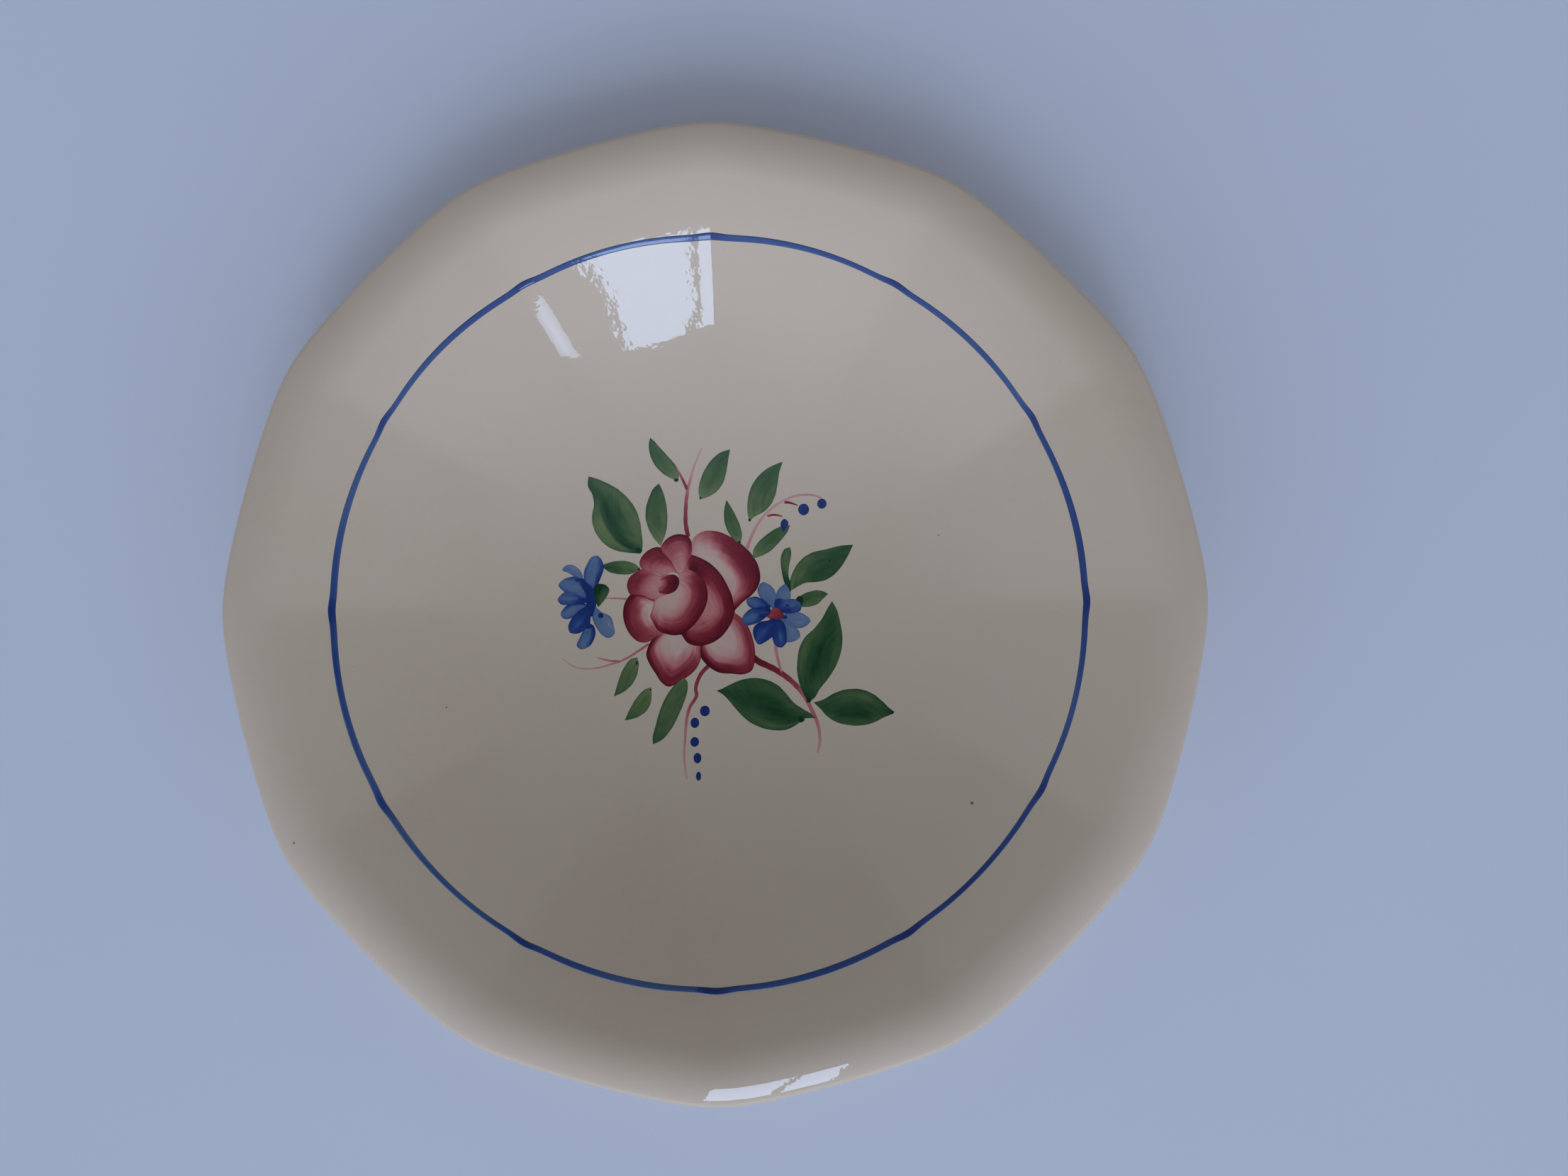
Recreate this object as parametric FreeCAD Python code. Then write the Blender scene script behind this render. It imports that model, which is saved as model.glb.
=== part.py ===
"""Hand-painted twelve-sided hollow dish: fired body, glaze coats and the painted decoration.

Millimetres, +Z up. The origin is the centre of the foot ring's resting plane and +Y is the top
of the painted bouquet. The face of the dish is drawn as a half section: a round well, a straight
wall that eases off near its top, and one arc that rolls the lip over to the rim.
Beyond the round well every contour of the face and back is bowed into twelve soft sides.
"""
import FreeCAD, Part
import os
from math import asin, cos, exp, pi, radians, sin, tan

Vector = FreeCAD.Vector
ORIGIN = Vector(0, 0, 0)
AXIS = Vector(0, 0, 1)

# Half section of the glazed face
RIM_RADIUS = 138.7          # outermost edge, mean of the twelve-sided outline
CREST_RADIUS = 130.8        # the lip is level here
LIP_RADIUS = 21.5           # the arc that rolls over the crest to the rim
WALL_TOP_RADIUS = 110.0     # the wall starts to ease off
WALL_FOOT_RADIUS = 92.4     # the round well becomes the straight wall
WALL_SLOPE = radians(28.0)
LIP_SLOPE = radians(22.5)   # slope that the wall has eased to where the lip's arc starts
WELL_CENTRE_HEIGHT = 7.5
THICKNESS = 5.0             # glazed wall, face to back

# Twelve soft sides
SIDES = 12
SECTOR = 2 * pi / SIDES     # the first crease lies on +X
WALL_FOLD = 0.46            # 1 would be a true twelve-sided contour, 0 a circle
RIM_FOLD = 0.59
WALL_SOFTNESS = radians(1.1)    # how far each crease is spread
RIM_SOFTNESS = radians(3.3)
FOLD_TERMS = 12
FOLD_START_RADIUS = 61.0    # the well is round inside this
FOLD_FULL_RADIUS = 88.0
ANGLE_STEPS = 30            # points of a contour per side
ARC_STEPS = 8               # points along each arc of the section

# Foot ring
FOOT_OUTER_RADIUS = 58.0
FOOT_INNER_RADIUS = 51.0
FOOT_DRAFT = 1.5            # each side of the ring leans this far towards its middle
BARE_FOOT_HEIGHT = 1.2      # the glaze stops this far above the resting plane

# Coats
GLAZE = 0.5
PAINT = 0.25
BAND_PAINT = 0.3

# Banding line
BAND_RADIUS = 108.4
BAND_WIDTH = 1.5
BAND_SHIFT = (-1.7, -0.4)   # the line was turned slightly off centre
BAND_BULGE = 0.5            # the brush runs a little wide over each crease
BAND_BULGE_SPREAD = radians(2.0)

# Painted strokes
STEM_STEPS = 3              # points of a thin line's side for each given stretch of it
SMALLEST_STROKE_AREA = 0.05     # smaller scraps left when later strokes cover a stroke are dropped

# Worked out from the above
WELL_RADIUS = WALL_FOOT_RADIUS / sin(WALL_SLOPE)
WELL_TOP = WELL_CENTRE_HEIGHT + WELL_RADIUS * (1 - cos(WALL_SLOPE))
WALL_TOP = WELL_TOP + (WALL_TOP_RADIUS - WALL_FOOT_RADIUS) * tan(WALL_SLOPE)
LIP_START_RADIUS = CREST_RADIUS - LIP_RADIUS * sin(LIP_SLOPE)
EASE_RADIUS = (LIP_START_RADIUS - WALL_TOP_RADIUS) / (sin(WALL_SLOPE) - sin(LIP_SLOPE))
LIP_START = WALL_TOP + EASE_RADIUS * (cos(LIP_SLOPE) - cos(WALL_SLOPE))
MID_LIP_RADIUS = LIP_RADIUS - THICKNESS / 2
LIP_END = asin((RIM_RADIUS - CREST_RADIUS - THICKNESS / 2) / MID_LIP_RADIUS)
WELL_CENTRE = (0.0, WELL_CENTRE_HEIGHT + WELL_RADIUS)
EASE_CENTRE = (WALL_TOP_RADIUS + EASE_RADIUS * sin(WALL_SLOPE), WALL_TOP - EASE_RADIUS * cos(WALL_SLOPE))
LIP_CENTRE = (CREST_RADIUS, LIP_START - LIP_RADIUS * cos(LIP_SLOPE))
RIM_CENTRE = (RIM_RADIUS - THICKNESS / 2, LIP_CENTRE[1] + MID_LIP_RADIUS * cos(LIP_END))


# ---------------------------------------------------------------- half section

def on_circle(centre, radius, lean):
    """The point of a circle whose direction from the centre leans this far from straight up."""
    return centre[0] + radius * sin(lean), centre[1] + radius * cos(lean)


def arc(centre, radius, start, end):
    return [on_circle(centre, radius, start + (end - start) * i / ARC_STEPS) for i in range(ARC_STEPS + 1)]


def line(start, end):
    return [start, end]


def well_point(radius, depth):
    """The well's point at a radius, this deep under the glazed face."""
    return on_circle(WELL_CENTRE, WELL_RADIUS + depth, pi - asin(radius / (WELL_RADIUS + depth)))


def face_line(depth):
    """Segments from the fold's start to the end of the lip's arc, this deep under the face."""
    well_start = pi - asin(FOLD_START_RADIUS / (WELL_RADIUS + depth))
    well = arc(WELL_CENTRE, WELL_RADIUS + depth, well_start, pi - WALL_SLOPE)
    ease = arc(EASE_CENTRE, EASE_RADIUS - depth, -WALL_SLOPE, -LIP_SLOPE)
    lip = arc(LIP_CENTRE, LIP_RADIUS - depth, -LIP_SLOPE, LIP_END)
    return [well, line(well[-1], ease[0]), ease, lip]


def rim_arc(depth, start, end):
    """Part of the half-round rim edge, this deep under its surface."""
    return arc(RIM_CENTRE, THICKNESS / 2 - depth, start, end)


def backwards(segments):
    return [segment[::-1] for segment in reversed(segments)]


# ---------------------------------------------------------------- twelve-sided skins

def fold(angle, radius):
    """How far a twelve-sided contour stands out at this angle, as a share of its radius."""
    rim_share = max(radius - LIP_START_RADIUS, 0.0) / (RIM_RADIUS - LIP_START_RADIUS)
    softness = WALL_SOFTNESS + (RIM_SOFTNESS - WALL_SOFTNESS) * rim_share
    strength = WALL_FOLD + (RIM_FOLD - WALL_FOLD) * rim_share
    total = 0.0
    for term in range(1, FOLD_TERMS + 1):
        wave = SIDES * term
        total += 0.5 * (SECTOR / (pi * term)) ** 2 * exp(-((wave * softness) ** 2) / 2) * cos(wave * angle)
    return strength * total


def fold_share(radius):
    """0 in the round well, rising smoothly to 1 on the wall."""
    share = (radius - FOLD_START_RADIUS) / (FOLD_FULL_RADIUS - FOLD_START_RADIUS)
    share = min(max(share, 0.0), 1.0)
    return share * share * (3 - 2 * share)


def folded_point(radius, height, angle):
    reach = radius * (1 + fold_share(radius) * fold(angle, radius))
    return Vector(reach * cos(angle), reach * sin(angle), height)


def even_curve(points, closed):
    """A smooth curve through points, one unit of its parameter between each two."""
    curve = Part.BSplineCurve()
    spans = len(points) if closed else len(points) - 1
    curve.interpolate(Points=points, PeriodicFlag=closed, Parameters=[float(i) for i in range(spans + 1)])
    return curve


def skin(rings):
    """One face through closed rings of points; rings shared by two skins meet exactly."""
    contours = [even_curve(ring, True) for ring in rings]
    lines = [even_curve(list(poles), False) for poles in zip(*(contour.getPoles() for contour in contours))]
    surface = Part.BSplineSurface()
    surface.buildFromPolesMultsKnots(
        [list(row) for row in zip(*(each.getPoles() for each in lines))],
        lines[0].getMultiplicities(), contours[0].getMultiplicities(),
        lines[0].getKnots(), contours[0].getKnots(),
        False, True, lines[0].Degree, contours[0].Degree,
    )
    return surface.toShape()


def angles_round():
    """Evenly spaced, so that a contour without creases is a true circle and joins a turned face."""
    count = SIDES * ANGLE_STEPS
    return [2 * pi * i / count for i in range(count)]


def folded_skin(segment):
    rings = [[folded_point(radius, height, angle) for angle in angles_round()] for radius, height in segment]
    return skin(rings)


def section_vector(point):
    return Vector(point[0], 0, point[1])


def section_path(points):
    """Straight section edges through points."""
    vectors = [section_vector(point) for point in points]
    return [Part.makeLine(a, b) for a, b in zip(vectors, vectors[1:])]


def well_edge(inner, outer, depth):
    """The well's section arc between two radii, this deep under the face."""
    radii = (inner, (inner + outer) / 2, outer)
    return Part.Arc(*[section_vector(well_point(radius, depth)) for radius in radii]).toShape()


def solid_between(faces):
    """The solid that faces close off."""
    shell = Part.makeCompound(faces)
    shell.sewShape()
    solid = Part.Solid(shell.Shells[0])
    if solid.Volume < 0:
        solid.reverse()
    return solid


def closed_solid(folded, turned):
    """The solid inside folded section segments and turned section edges."""
    faces = [folded_skin(segment) for segment in folded]
    faces += [edge.revolve(ORIGIN, AXIS, 360) for edge in turned]
    return solid_between(faces)


# ---------------------------------------------------------------- body and glaze

def foot_side(radius, draft, depth):
    """One side of the foot ring: where it stands and where it meets the back."""
    return (radius, 0.0), well_point(radius + draft, depth)


def at_height(side, height):
    (low_radius, low), (high_radius, high) = side
    return low_radius + (high_radius - low_radius) * (height - low) / (high - low), height


def make_body():
    back = THICKNESS - GLAZE
    outer = foot_side(FOOT_OUTER_RADIUS - GLAZE, FOOT_DRAFT, back)
    inner = foot_side(FOOT_INNER_RADIUS + GLAZE, -FOOT_DRAFT, back)
    folded = face_line(GLAZE) + [rim_arc(GLAZE, LIP_END, LIP_END + pi)] + backwards(face_line(back))
    turned = [
        well_edge(0.0, FOLD_START_RADIUS, GLAZE),
        well_edge(outer[1][0], FOLD_START_RADIUS, back),
        well_edge(0.0, inner[1][0], back),
    ]
    return closed_solid(folded, turned + section_path([outer[1], outer[0], inner[0], inner[1]]))


def make_face_glaze():
    """The coat over the well, wall and lip, down to the outermost edge of the rim."""
    top = rim_arc(0.0, LIP_END, pi / 2)
    under = rim_arc(GLAZE, LIP_END, pi / 2)
    folded = face_line(0.0) + [top, line(top[-1], under[-1])] + backwards(face_line(GLAZE) + [under])
    turned = [well_edge(0.0, FOLD_START_RADIUS, 0.0), well_edge(0.0, FOLD_START_RADIUS, GLAZE)]
    return closed_solid(folded, turned)


def coat_end(side, side_under):
    """The coat's section down one side of the foot ring, round its lower end and up again."""
    low, low_under = (at_height(each, BARE_FOOT_HEIGHT) for each in (side, side_under))
    return [side[1], low, low_under, side_under[1]]


def make_back_glaze():
    """The coat from the edge of the rim down the back and the outside of the foot ring."""
    inside = THICKNESS - GLAZE
    under = rim_arc(GLAZE, pi / 2, LIP_END + pi)
    top = rim_arc(0.0, pi / 2, LIP_END + pi)
    folded = [line(top[0], under[0]), under] + backwards(face_line(inside)) + face_line(THICKNESS) + [top]
    side = foot_side(FOOT_OUTER_RADIUS, FOOT_DRAFT, THICKNESS)
    side_under = foot_side(FOOT_OUTER_RADIUS - GLAZE, FOOT_DRAFT, inside)
    turned = [
        well_edge(side[1][0], FOLD_START_RADIUS, THICKNESS),
        well_edge(side_under[1][0], FOLD_START_RADIUS, inside),
    ]
    return closed_solid(folded, turned + section_path(coat_end(side, side_under)))


def make_foot_well_glaze():
    """The coat on the round of back inside the foot ring."""
    inside = THICKNESS - GLAZE
    side = foot_side(FOOT_INNER_RADIUS, -FOOT_DRAFT, THICKNESS)
    side_under = foot_side(FOOT_INNER_RADIUS + GLAZE, -FOOT_DRAFT, inside)
    turned = [well_edge(0.0, side[1][0], THICKNESS), well_edge(0.0, side_under[1][0], inside)]
    return closed_solid([], turned + section_path(coat_end(side, side_under)))


# ---------------------------------------------------------------- banding line

def band_point(across, lift, angle):
    """A point of the line: across runs from -0.5 to 0.5 over its width, lift is above the glaze."""
    from_crease = angle - SECTOR * round(angle / SECTOR)
    bulge = BAND_BULGE * exp(-((from_crease / BAND_BULGE_SPREAD) ** 2))
    shift = BAND_SHIFT[0] * cos(angle) + BAND_SHIFT[1] * sin(angle)
    radius = (BAND_RADIUS + shift + bulge + across * BAND_WIDTH) / (1 + fold(angle, BAND_RADIUS))
    height = WELL_TOP + (radius - WALL_FOOT_RADIUS) * tan(WALL_SLOPE)
    return folded_point(radius - lift * sin(WALL_SLOPE), height + lift * cos(WALL_SLOPE), angle)


def make_band():
    corners = [(-0.5, 0.0), (-0.5, BAND_PAINT), (0.5, BAND_PAINT), (0.5, 0.0)]
    rings = [[band_point(across, lift, angle) for angle in angles_round()] for across, lift in corners]
    return solid_between([skin([start, end]) for start, end in zip(rings, rings[1:] + rings[:1])])


# ---------------------------------------------------------------- painted strokes

def spline(points):
    curve = Part.BSplineCurve()
    curve.interpolate([Vector(x, y, 0) for x, y in points])
    return curve.toShape()


def outline(*sides):
    """A flat face inside curves that join end to end, each given by the points it passes."""
    return Part.Face(Part.Wire([spline(side) for side in sides]))


def leaf(base, left, tip, right):
    """A stroke with a point at both ends: left runs base to tip, right runs tip to base."""
    return outline([base] + left + [tip], [tip] + right + [base])


def petal(base, edge):
    """A stroke with one corner at its base and a round far end."""
    return outline([base] + edge + [base])


def dab(x, y, half_width, half_height):
    """A round touch of the brush."""
    ellipse = Part.Ellipse(ORIGIN, half_height, half_width).toShape()
    ellipse.rotate(ORIGIN, AXIS, 90)
    ellipse.translate(Vector(x, y, 0))
    return Part.Face(Part.Wire([ellipse]))


def stem(points, start_width, end_width):
    """A thin line of the brush along a curve, tapering evenly from one width to the other."""
    curve = spline(points).Curve
    first, last = curve.FirstParameter, curve.LastParameter
    steps = STEM_STEPS * (len(points) - 1)
    sides = ([], [])
    for i in range(steps + 1):
        at = first + (last - first) * i / steps
        centre, (way,) = curve.value(at), curve.tangent(at)
        half = (start_width + (end_width - start_width) * i / steps) / 2
        for side, sign in zip(sides, (1, -1)):
            side.append((centre.x - sign * half * way.y, centre.y + sign * half * way.x))
    left, right = sides
    return outline(left, [left[-1], right[-1]], right[::-1], [right[0], left[0]])


ROSE = {
    "rose_right_petal": outline(
        [(-9.0, 17.0), (-9.2, 20.5), (-7.8, 23.0), (-4.0, 24.7), (1.0, 23.8), (6.0, 20.7), (10.0, 16.7),
         (12.2, 12.0), (12.2, 8.0), (9.8, 4.4), (7.0, 2.2), (4.0, -0.6)],
        [(4.0, -0.6), (1.0, 2.0), (-2.0, 9.0), (-9.0, 17.0)],
    ),
    "rose_bottom_left_petal": outline(
        [(-17.5, -6.0), (-18.7, -7.4), (-21.5, -9.0), (-23.6, -13.6), (-22.3, -17.2), (-19.5, -21.8),
         (-16.7, -24.1), (-13.0, -22.7), (-9.3, -20.2), (-6.6, -15.8), (-6.5, -9.5)],
        [(-6.5, -9.5), (-11.5, -7.5), (-17.5, -6.0)],
    ),
    "rose_bottom_right_petal": outline(
        [(3.0, -1.0), (5.5, -2.2), (8.2, -5.2), (10.0, -10.5), (10.4, -16.5), (9.2, -19.7), (6.5, -20.6),
         (-1.0, -20.0), (-5.2, -17.0), (-7.1, -13.6), (-6.3, -10.5)],
        [(-6.3, -10.5), (-1.5, -7.0), (3.0, -1.0)],
    ),
    "rose_lower_left_petal": outline(
        [(-21.2, 3.2), (-24.6, 4.5), (-27.3, 5.4), (-29.5, 3.6), (-30.7, -1.0), (-30.0, -5.5), (-27.8, -9.2),
         (-24.6, -10.3), (-21.6, -9.4), (-18.6, -7.3)],
        [(-18.6, -7.3), (-20.5, -3.0), (-21.2, 3.2)],
    ),
    "rose_left_petal": outline(
        [(-17.5, 10.5), (-21.5, 12.1), (-25.0, 12.7), (-28.2, 10.7), (-29.4, 7.2), (-28.4, 4.6), (-25.0, 4.3),
         (-20.8, 2.7), (-17.5, 4.5)],
        [(-17.5, 4.5), (-16.5, 7.5), (-17.5, 10.5)],
    ),
    "rose_upper_left_petal": outline(
        [(-12.8, 11.2), (-15.3, 16.3), (-18.6, 19.4), (-21.5, 19.4), (-24.3, 17.4), (-25.5, 14.5),
         (-24.0, 12.6), (-20.5, 11.7), (-17.5, 10.3)],
        [(-17.5, 10.3), (-15.0, 9.8), (-12.8, 11.2)],
    ),
    "rose_top_petal": outline(
        [(-10.4, 12.0), (-9.3, 16.5), (-9.0, 20.5), (-10.2, 22.9), (-13.0, 23.6), (-16.3, 22.6),
         (-18.8, 19.4), (-16.2, 16.6), (-13.4, 11.6)],
        [(-13.4, 11.6), (-12.0, 11.2), (-10.4, 12.0)],
    ),
    "rose_outer_swirl": outline(
        [(-10.6, 12.8), (-9.6, 17.1), (-5.6, 16.0), (-1.0, 12.4), (2.3, 6.8), (4.1, 0.5), (2.6, -4.6),
         (-1.6, -9.4), (-6.6, -11.2), (-10.8, -10.1), (-12.9, -7.4)],
        [(-12.9, -7.4), (-7.0, -2.5), (-5.5, 4.5), (-10.6, 12.8)],
    ),
    "rose_inner_swirl": outline(
        [(-13.6, 11.3), (-10.8, 13.1), (-7.2, 11.6), (-4.5, 7.6), (-3.9, 3.4), (-5.6, -1.4), (-9.2, -5.6),
         (-14.2, -7.8), (-18.8, -6.7), (-21.9, -3.4), (-22.2, -0.4), (-21.0, 2.7)],
        [(-21.0, 2.7), (-18.4, 4.2), (-15.0, 4.9), (-13.1, 7.6), (-13.6, 11.3)],
    ),
    "rose_bud": petal((-18.2, 4.5), [(-15.5, 4.9), (-13.4, 6.8), (-13.1, 9.4), (-14.6, 10.9), (-17.4, 10.7),
                                     (-19.2, 7.8)]),
}

LEAVES = {
    "leaf_upper_left": [
        leaf((-25.2, 17.6), [(-29.0, 17.9), (-34.6, 19.4), (-38.7, 24.3), (-39.6, 29.5), (-39.1, 34.6)],
             (-40.4, 39.4), [(-39.2, 41.1), (-32.6, 38.2), (-27.0, 33.0), (-24.6, 25.5), (-24.5, 20.0)]),
    ],
    "leaves_top": [
        leaf((-18.8, 20.2), [(-21.4, 23.2), (-23.3, 29.5), (-22.0, 35.3)],
             (-18.9, 39.3), [(-17.4, 36.0), (-16.4, 30.5), (-17.2, 24.8)]),
        leaf((-13.0, 40.2), [(-17.2, 42.4), (-20.6, 46.4), (-21.4, 50.4)],
             (-21.0, 53.2), [(-17.6, 49.8), (-13.9, 45.4), (-12.7, 42.0)]),
        leaf((-6.1, 34.3), [(-6.6, 38.2), (-4.4, 43.6), (-0.4, 48.0)],
             (3.6, 49.5), [(2.9, 44.0), (0.7, 38.9), (-2.6, 35.5)]),
    ],
    "leaves_upper_right": [
        leaf((9.1, 27.2), [(8.7, 32.4), (10.4, 38.9), (14.2, 43.0)],
             (19.9, 45.4), [(18.4, 38.8), (16.3, 33.4), (12.4, 29.4)]),
        leaf((6.1, 20.4), [(2.9, 23.4), (1.3, 27.8), (1.4, 31.4)],
             (2.2, 33.9), [(4.9, 28.8), (6.7, 24.6), (6.9, 22.2)]),
        leaf((10.3, 15.8), [(10.7, 19.2), (14.4, 22.8), (18.6, 25.1)],
             (22.0, 25.8), [(20.3, 22.0), (16.4, 18.4), (12.8, 16.3)]),
    ],
    "leaf_left": [
        leaf((-25.6, 13.0), [(-27.4, 14.7), (-31.0, 15.5), (-34.4, 15.0)],
             (-37.0, 13.8), [(-34.8, 12.0), (-31.0, 11.1), (-27.6, 11.4)]),
    ],
    "leaves_right": [
        leaf((21.2, 4.8), [(19.7, 8.0), (18.8, 13.8), (19.7, 17.9)],
             (22.0, 19.1), [(22.5, 15.5), (21.6, 10.5), (22.1, 7.0)]),
        leaf((21.7, 5.4), [(22.4, 10.4), (25.9, 15.9), (31.6, 18.0), (37.8, 19.1)],
             (41.5, 19.3), [(38.9, 14.0), (34.2, 9.2), (28.6, 7.9), (24.4, 7.0)]),
        leaf((23.0, 2.0), [(25.0, 4.0), (28.0, 5.2), (31.0, 5.2)],
             (33.5, 4.2), [(31.0, 1.6), (27.6, 0.2), (24.6, 0.4)]),
    ],
    "leaf_lower_right": [
        leaf((26.9, -29.4), [(24.4, -24.8), (23.5, -17.2), (25.4, -10.4), (30.2, -4.9)],
             (34.8, 1.9), [(37.4, -6.0), (37.5, -13.6), (34.2, -20.8), (29.6, -26.4)]),
    ],
    "leaf_bottom": [
        leaf((29.5, -34.4), [(25.4, -34.6), (20.6, -37.7), (13.2, -37.6), (7.0, -34.4), (2.6, -28.6)],
             (-1.7, -25.6), [(4.8, -22.7), (11.6, -21.7), (18.2, -24.5), (22.4, -29.4), (26.2, -32.2)]),
    ],
    "leaf_bottom_right": [
        leaf((28.7, -29.6), [(34.4, -26.8), (41.2, -25.2), (46.8, -26.6), (50.8, -30.4)],
             (53.1, -32.3), [(50.2, -33.6), (43.8, -36.6), (36.6, -36.2), (31.4, -32.8)]),
    ],
    "leaves_lower_left": [
        leaf((-26.6, -14.9), [(-28.8, -16.2), (-31.3, -20.8), (-32.5, -24.4)],
             (-33.3, -26.9), [(-29.6, -25.6), (-26.6, -21.0), (-25.9, -17.0)]),
        leaf((-22.1, -24.2), [(-24.8, -25.6), (-27.6, -29.4), (-29.0, -32.4)],
             (-29.9, -34.3), [(-25.6, -33.2), (-22.4, -30.0), (-21.8, -26.8)]),
        leaf((-12.6, -21.2), [(-15.8, -23.6), (-18.6, -29.0), (-20.2, -35.0), (-21.2, -39.6)],
             (-21.0, -41.8), [(-16.8, -38.6), (-13.2, -32.2), (-10.9, -26.4), (-10.7, -22.8)]),
    ],
}

LEFT_FLOWER = [
    petal((-39.8, 5.0), [(-41.9, 8.4), (-42.0, 12.4), (-40.2, 16.2), (-38.3, 17.1), (-36.6, 14.6),
                         (-37.2, 10.8)]),
    petal((-42.4, 8.8), [(-45.6, 10.4), (-48.7, 12.8), (-46.9, 14.1), (-44.6, 13.2), (-42.8, 11.0)]),
    petal((-40.4, 3.4), [(-41.6, 7.9), (-44.2, 10.3), (-47.6, 9.9), (-49.9, 7.9), (-47.8, 6.0),
                         (-44.2, 4.2)]),
    petal((-40.0, 2.4), [(-44.4, 4.9), (-48.0, 5.2), (-50.3, 3.2), (-48.4, 1.9), (-44.4, 1.8)]),
    petal((-39.6, 1.0), [(-43.6, 2.5), (-47.0, 2.1), (-49.4, -0.9), (-48.2, -2.3), (-44.2, -1.5)]),
    petal((-39.4, 2.0), [(-44.6, -1.4), (-47.3, -4.8), (-46.4, -7.2), (-43.0, -6.4), (-40.4, -2.6)]),
    petal((-41.2, -3.8), [(-42.4, -6.2), (-44.3, -10.6), (-43.2, -12.1), (-40.2, -10.4), (-39.2, -6.4)]),
    petal((-39.2, 1.4), [(-39.9, -2.2), (-37.7, -7.0), (-34.6, -8.7), (-33.6, -6.6), (-35.2, -2.2)]),
]

RIGHT_FLOWER = [
    petal((16.8, -0.6), [(13.6, 2.4), (11.9, 5.6), (12.9, 8.1), (15.4, 7.2), (17.2, 3.4)]),
    petal((17.2, -0.8), [(17.0, 3.2), (19.0, 6.4), (20.9, 7.6), (21.8, 4.6), (19.8, 1.4)]),
    petal((17.4, -2.2), [(20.4, -1.4), (24.4, -1.6), (28.0, -3.8), (25.8, -6.0), (21.6, -5.0)]),
    petal((17.8, -2.6), [(21.8, -5.8), (24.8, -8.0), (24.2, -10.3), (20.6, -10.4), (18.6, -6.6)]),
    petal((15.6, -1.8), [(11.6, -0.4), (8.2, -1.2), (6.7, -3.6), (9.0, -4.8), (12.8, -3.4)]),
    petal((15.8, -1.4), [(14.4, 2.0), (10.8, 3.5), (7.7, 2.6), (9.0, 0.6), (12.2, -0.4)]),
    petal((17.2, -1.0), [(18.0, 2.4), (22.0, 2.8), (25.1, 1.2), (24.0, -0.8), (20.0, -1.6)]),
    petal((16.2, -2.4), [(12.4, -4.0), (10.0, -7.0), (11.0, -10.6), (13.2, -10.8), (16.2, -8.6),
                         (16.9, -5.0)]),
    petal((17.0, -2.6), [(15.6, -6.0), (16.6, -10.4), (18.6, -12.4), (20.6, -10.2), (19.8, -5.8)]),
]

CALYX = petal((-38.0, 1.2), [(-39.6, 4.2), (-39.4, 7.4), (-37.2, 8.3), (-34.9, 7.0), (-35.6, 3.8)])
FLOWER_HEART = petal((14.2, -2.7), [(15.6, -0.9), (17.0, 0.3), (18.3, -0.4), (19.9, -2.3), (18.6, -3.5),
                                    (16.2, -3.6)])

STEMS = {
    "stem_top": [
        stem([(-10.2, 22.8), (-10.8, 27.0), (-10.4, 34.0), (-9.3, 40.5), (-7.2, 46.6), (-5.0, 50.2)],
             1.2, 0.4),
        stem([(-9.9, 37.4), (-11.8, 40.6), (-13.2, 43.8)], 0.9, 0.4),
    ],
    "stem_upper_right": [
        stem([(8.2, 18.2), (11.0, 25.6), (14.8, 30.0), (20.0, 33.6), (26.0, 35.1), (31.9, 33.9)], 0.8, 0.5),
        stem([(20.2, 33.0), (22.4, 32.7), (25.4, 31.6)], 0.8, 0.3),
        stem([(14.4, 28.8), (17.2, 29.1), (19.8, 28.6)], 0.6, 0.4),
    ],
    "stem_left": [stem([(-36.4, 3.7), (-33.0, 3.6), (-28.8, 3.4)], 0.35, 0.5)],
    "stem_lower_left": [
        stem([(-22.6, -10.6), (-28.0, -14.1), (-33.4, -17.0), (-40.0, -18.1), (-45.4, -17.1), (-49.0, -15.0)],
             0.8, 0.3),
        stem([(-31.6, -16.1), (-35.4, -15.8), (-38.8, -14.8)], 0.7, 0.35),
    ],
    "stem_bottom": [
        stem([(-4.2, -17.8), (-7.6, -22.4), (-8.2, -27.2), (-10.2, -30.8), (-11.3, -38.0), (-11.7, -45.0),
              (-10.6, -53.0)], 1.2, 0.4),
    ],
    "stem_lower_right": [
        stem([(9.6, -15.4), (14.4, -18.0), (20.4, -22.2), (26.0, -28.2), (29.8, -36.0), (30.3, -40.4),
              (29.5, -44.8)], 2.2, 0.6),
        stem([(16.9, -11.6), (17.6, -16.0), (18.8, -20.6)], 0.9, 0.6),
    ],
}

BERRIES = [
    dab(26.3, 30.6, 1.7, 1.75),
    dab(32.0, 32.2, 1.45, 1.5),
    petal((19.9, 23.4), [(19.4, 25.0), (19.0, 26.6), (20.2, 27.8), (21.5, 26.7), (20.8, 25.0)]),
]

DOTS = [
    dab(-5.3, -31.8, 1.55, 1.6),
    dab(-8.4, -35.4, 1.4, 1.6),
    dab(-8.4, -41.2, 1.4, 1.5),
    dab(-7.5, -46.1, 1.25, 1.6),
    dab(-7.1, -51.5, 0.8, 1.4),
]

# Order of painting: a later stroke covers what it crosses
STROKES = {**STEMS, **LEAVES, **{name: [face] for name, face in ROSE.items()}}
STROKES["left_flower_petals"] = LEFT_FLOWER
STROKES["left_flower_calyx"] = [CALYX]
STROKES["right_flower_petals"] = RIGHT_FLOWER
STROKES["right_flower_heart"] = [FLOWER_HEART]
STROKES["berries"] = BERRIES
STROKES["dots"] = DOTS


def paint_shell():
    """The thin layer on the round well in which every stroke lies."""
    centre = Vector(0, 0, WELL_CENTRE[1])
    return Part.makeSphere(WELL_RADIUS, centre).cut(Part.makeSphere(WELL_RADIUS - PAINT, centre))


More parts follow.
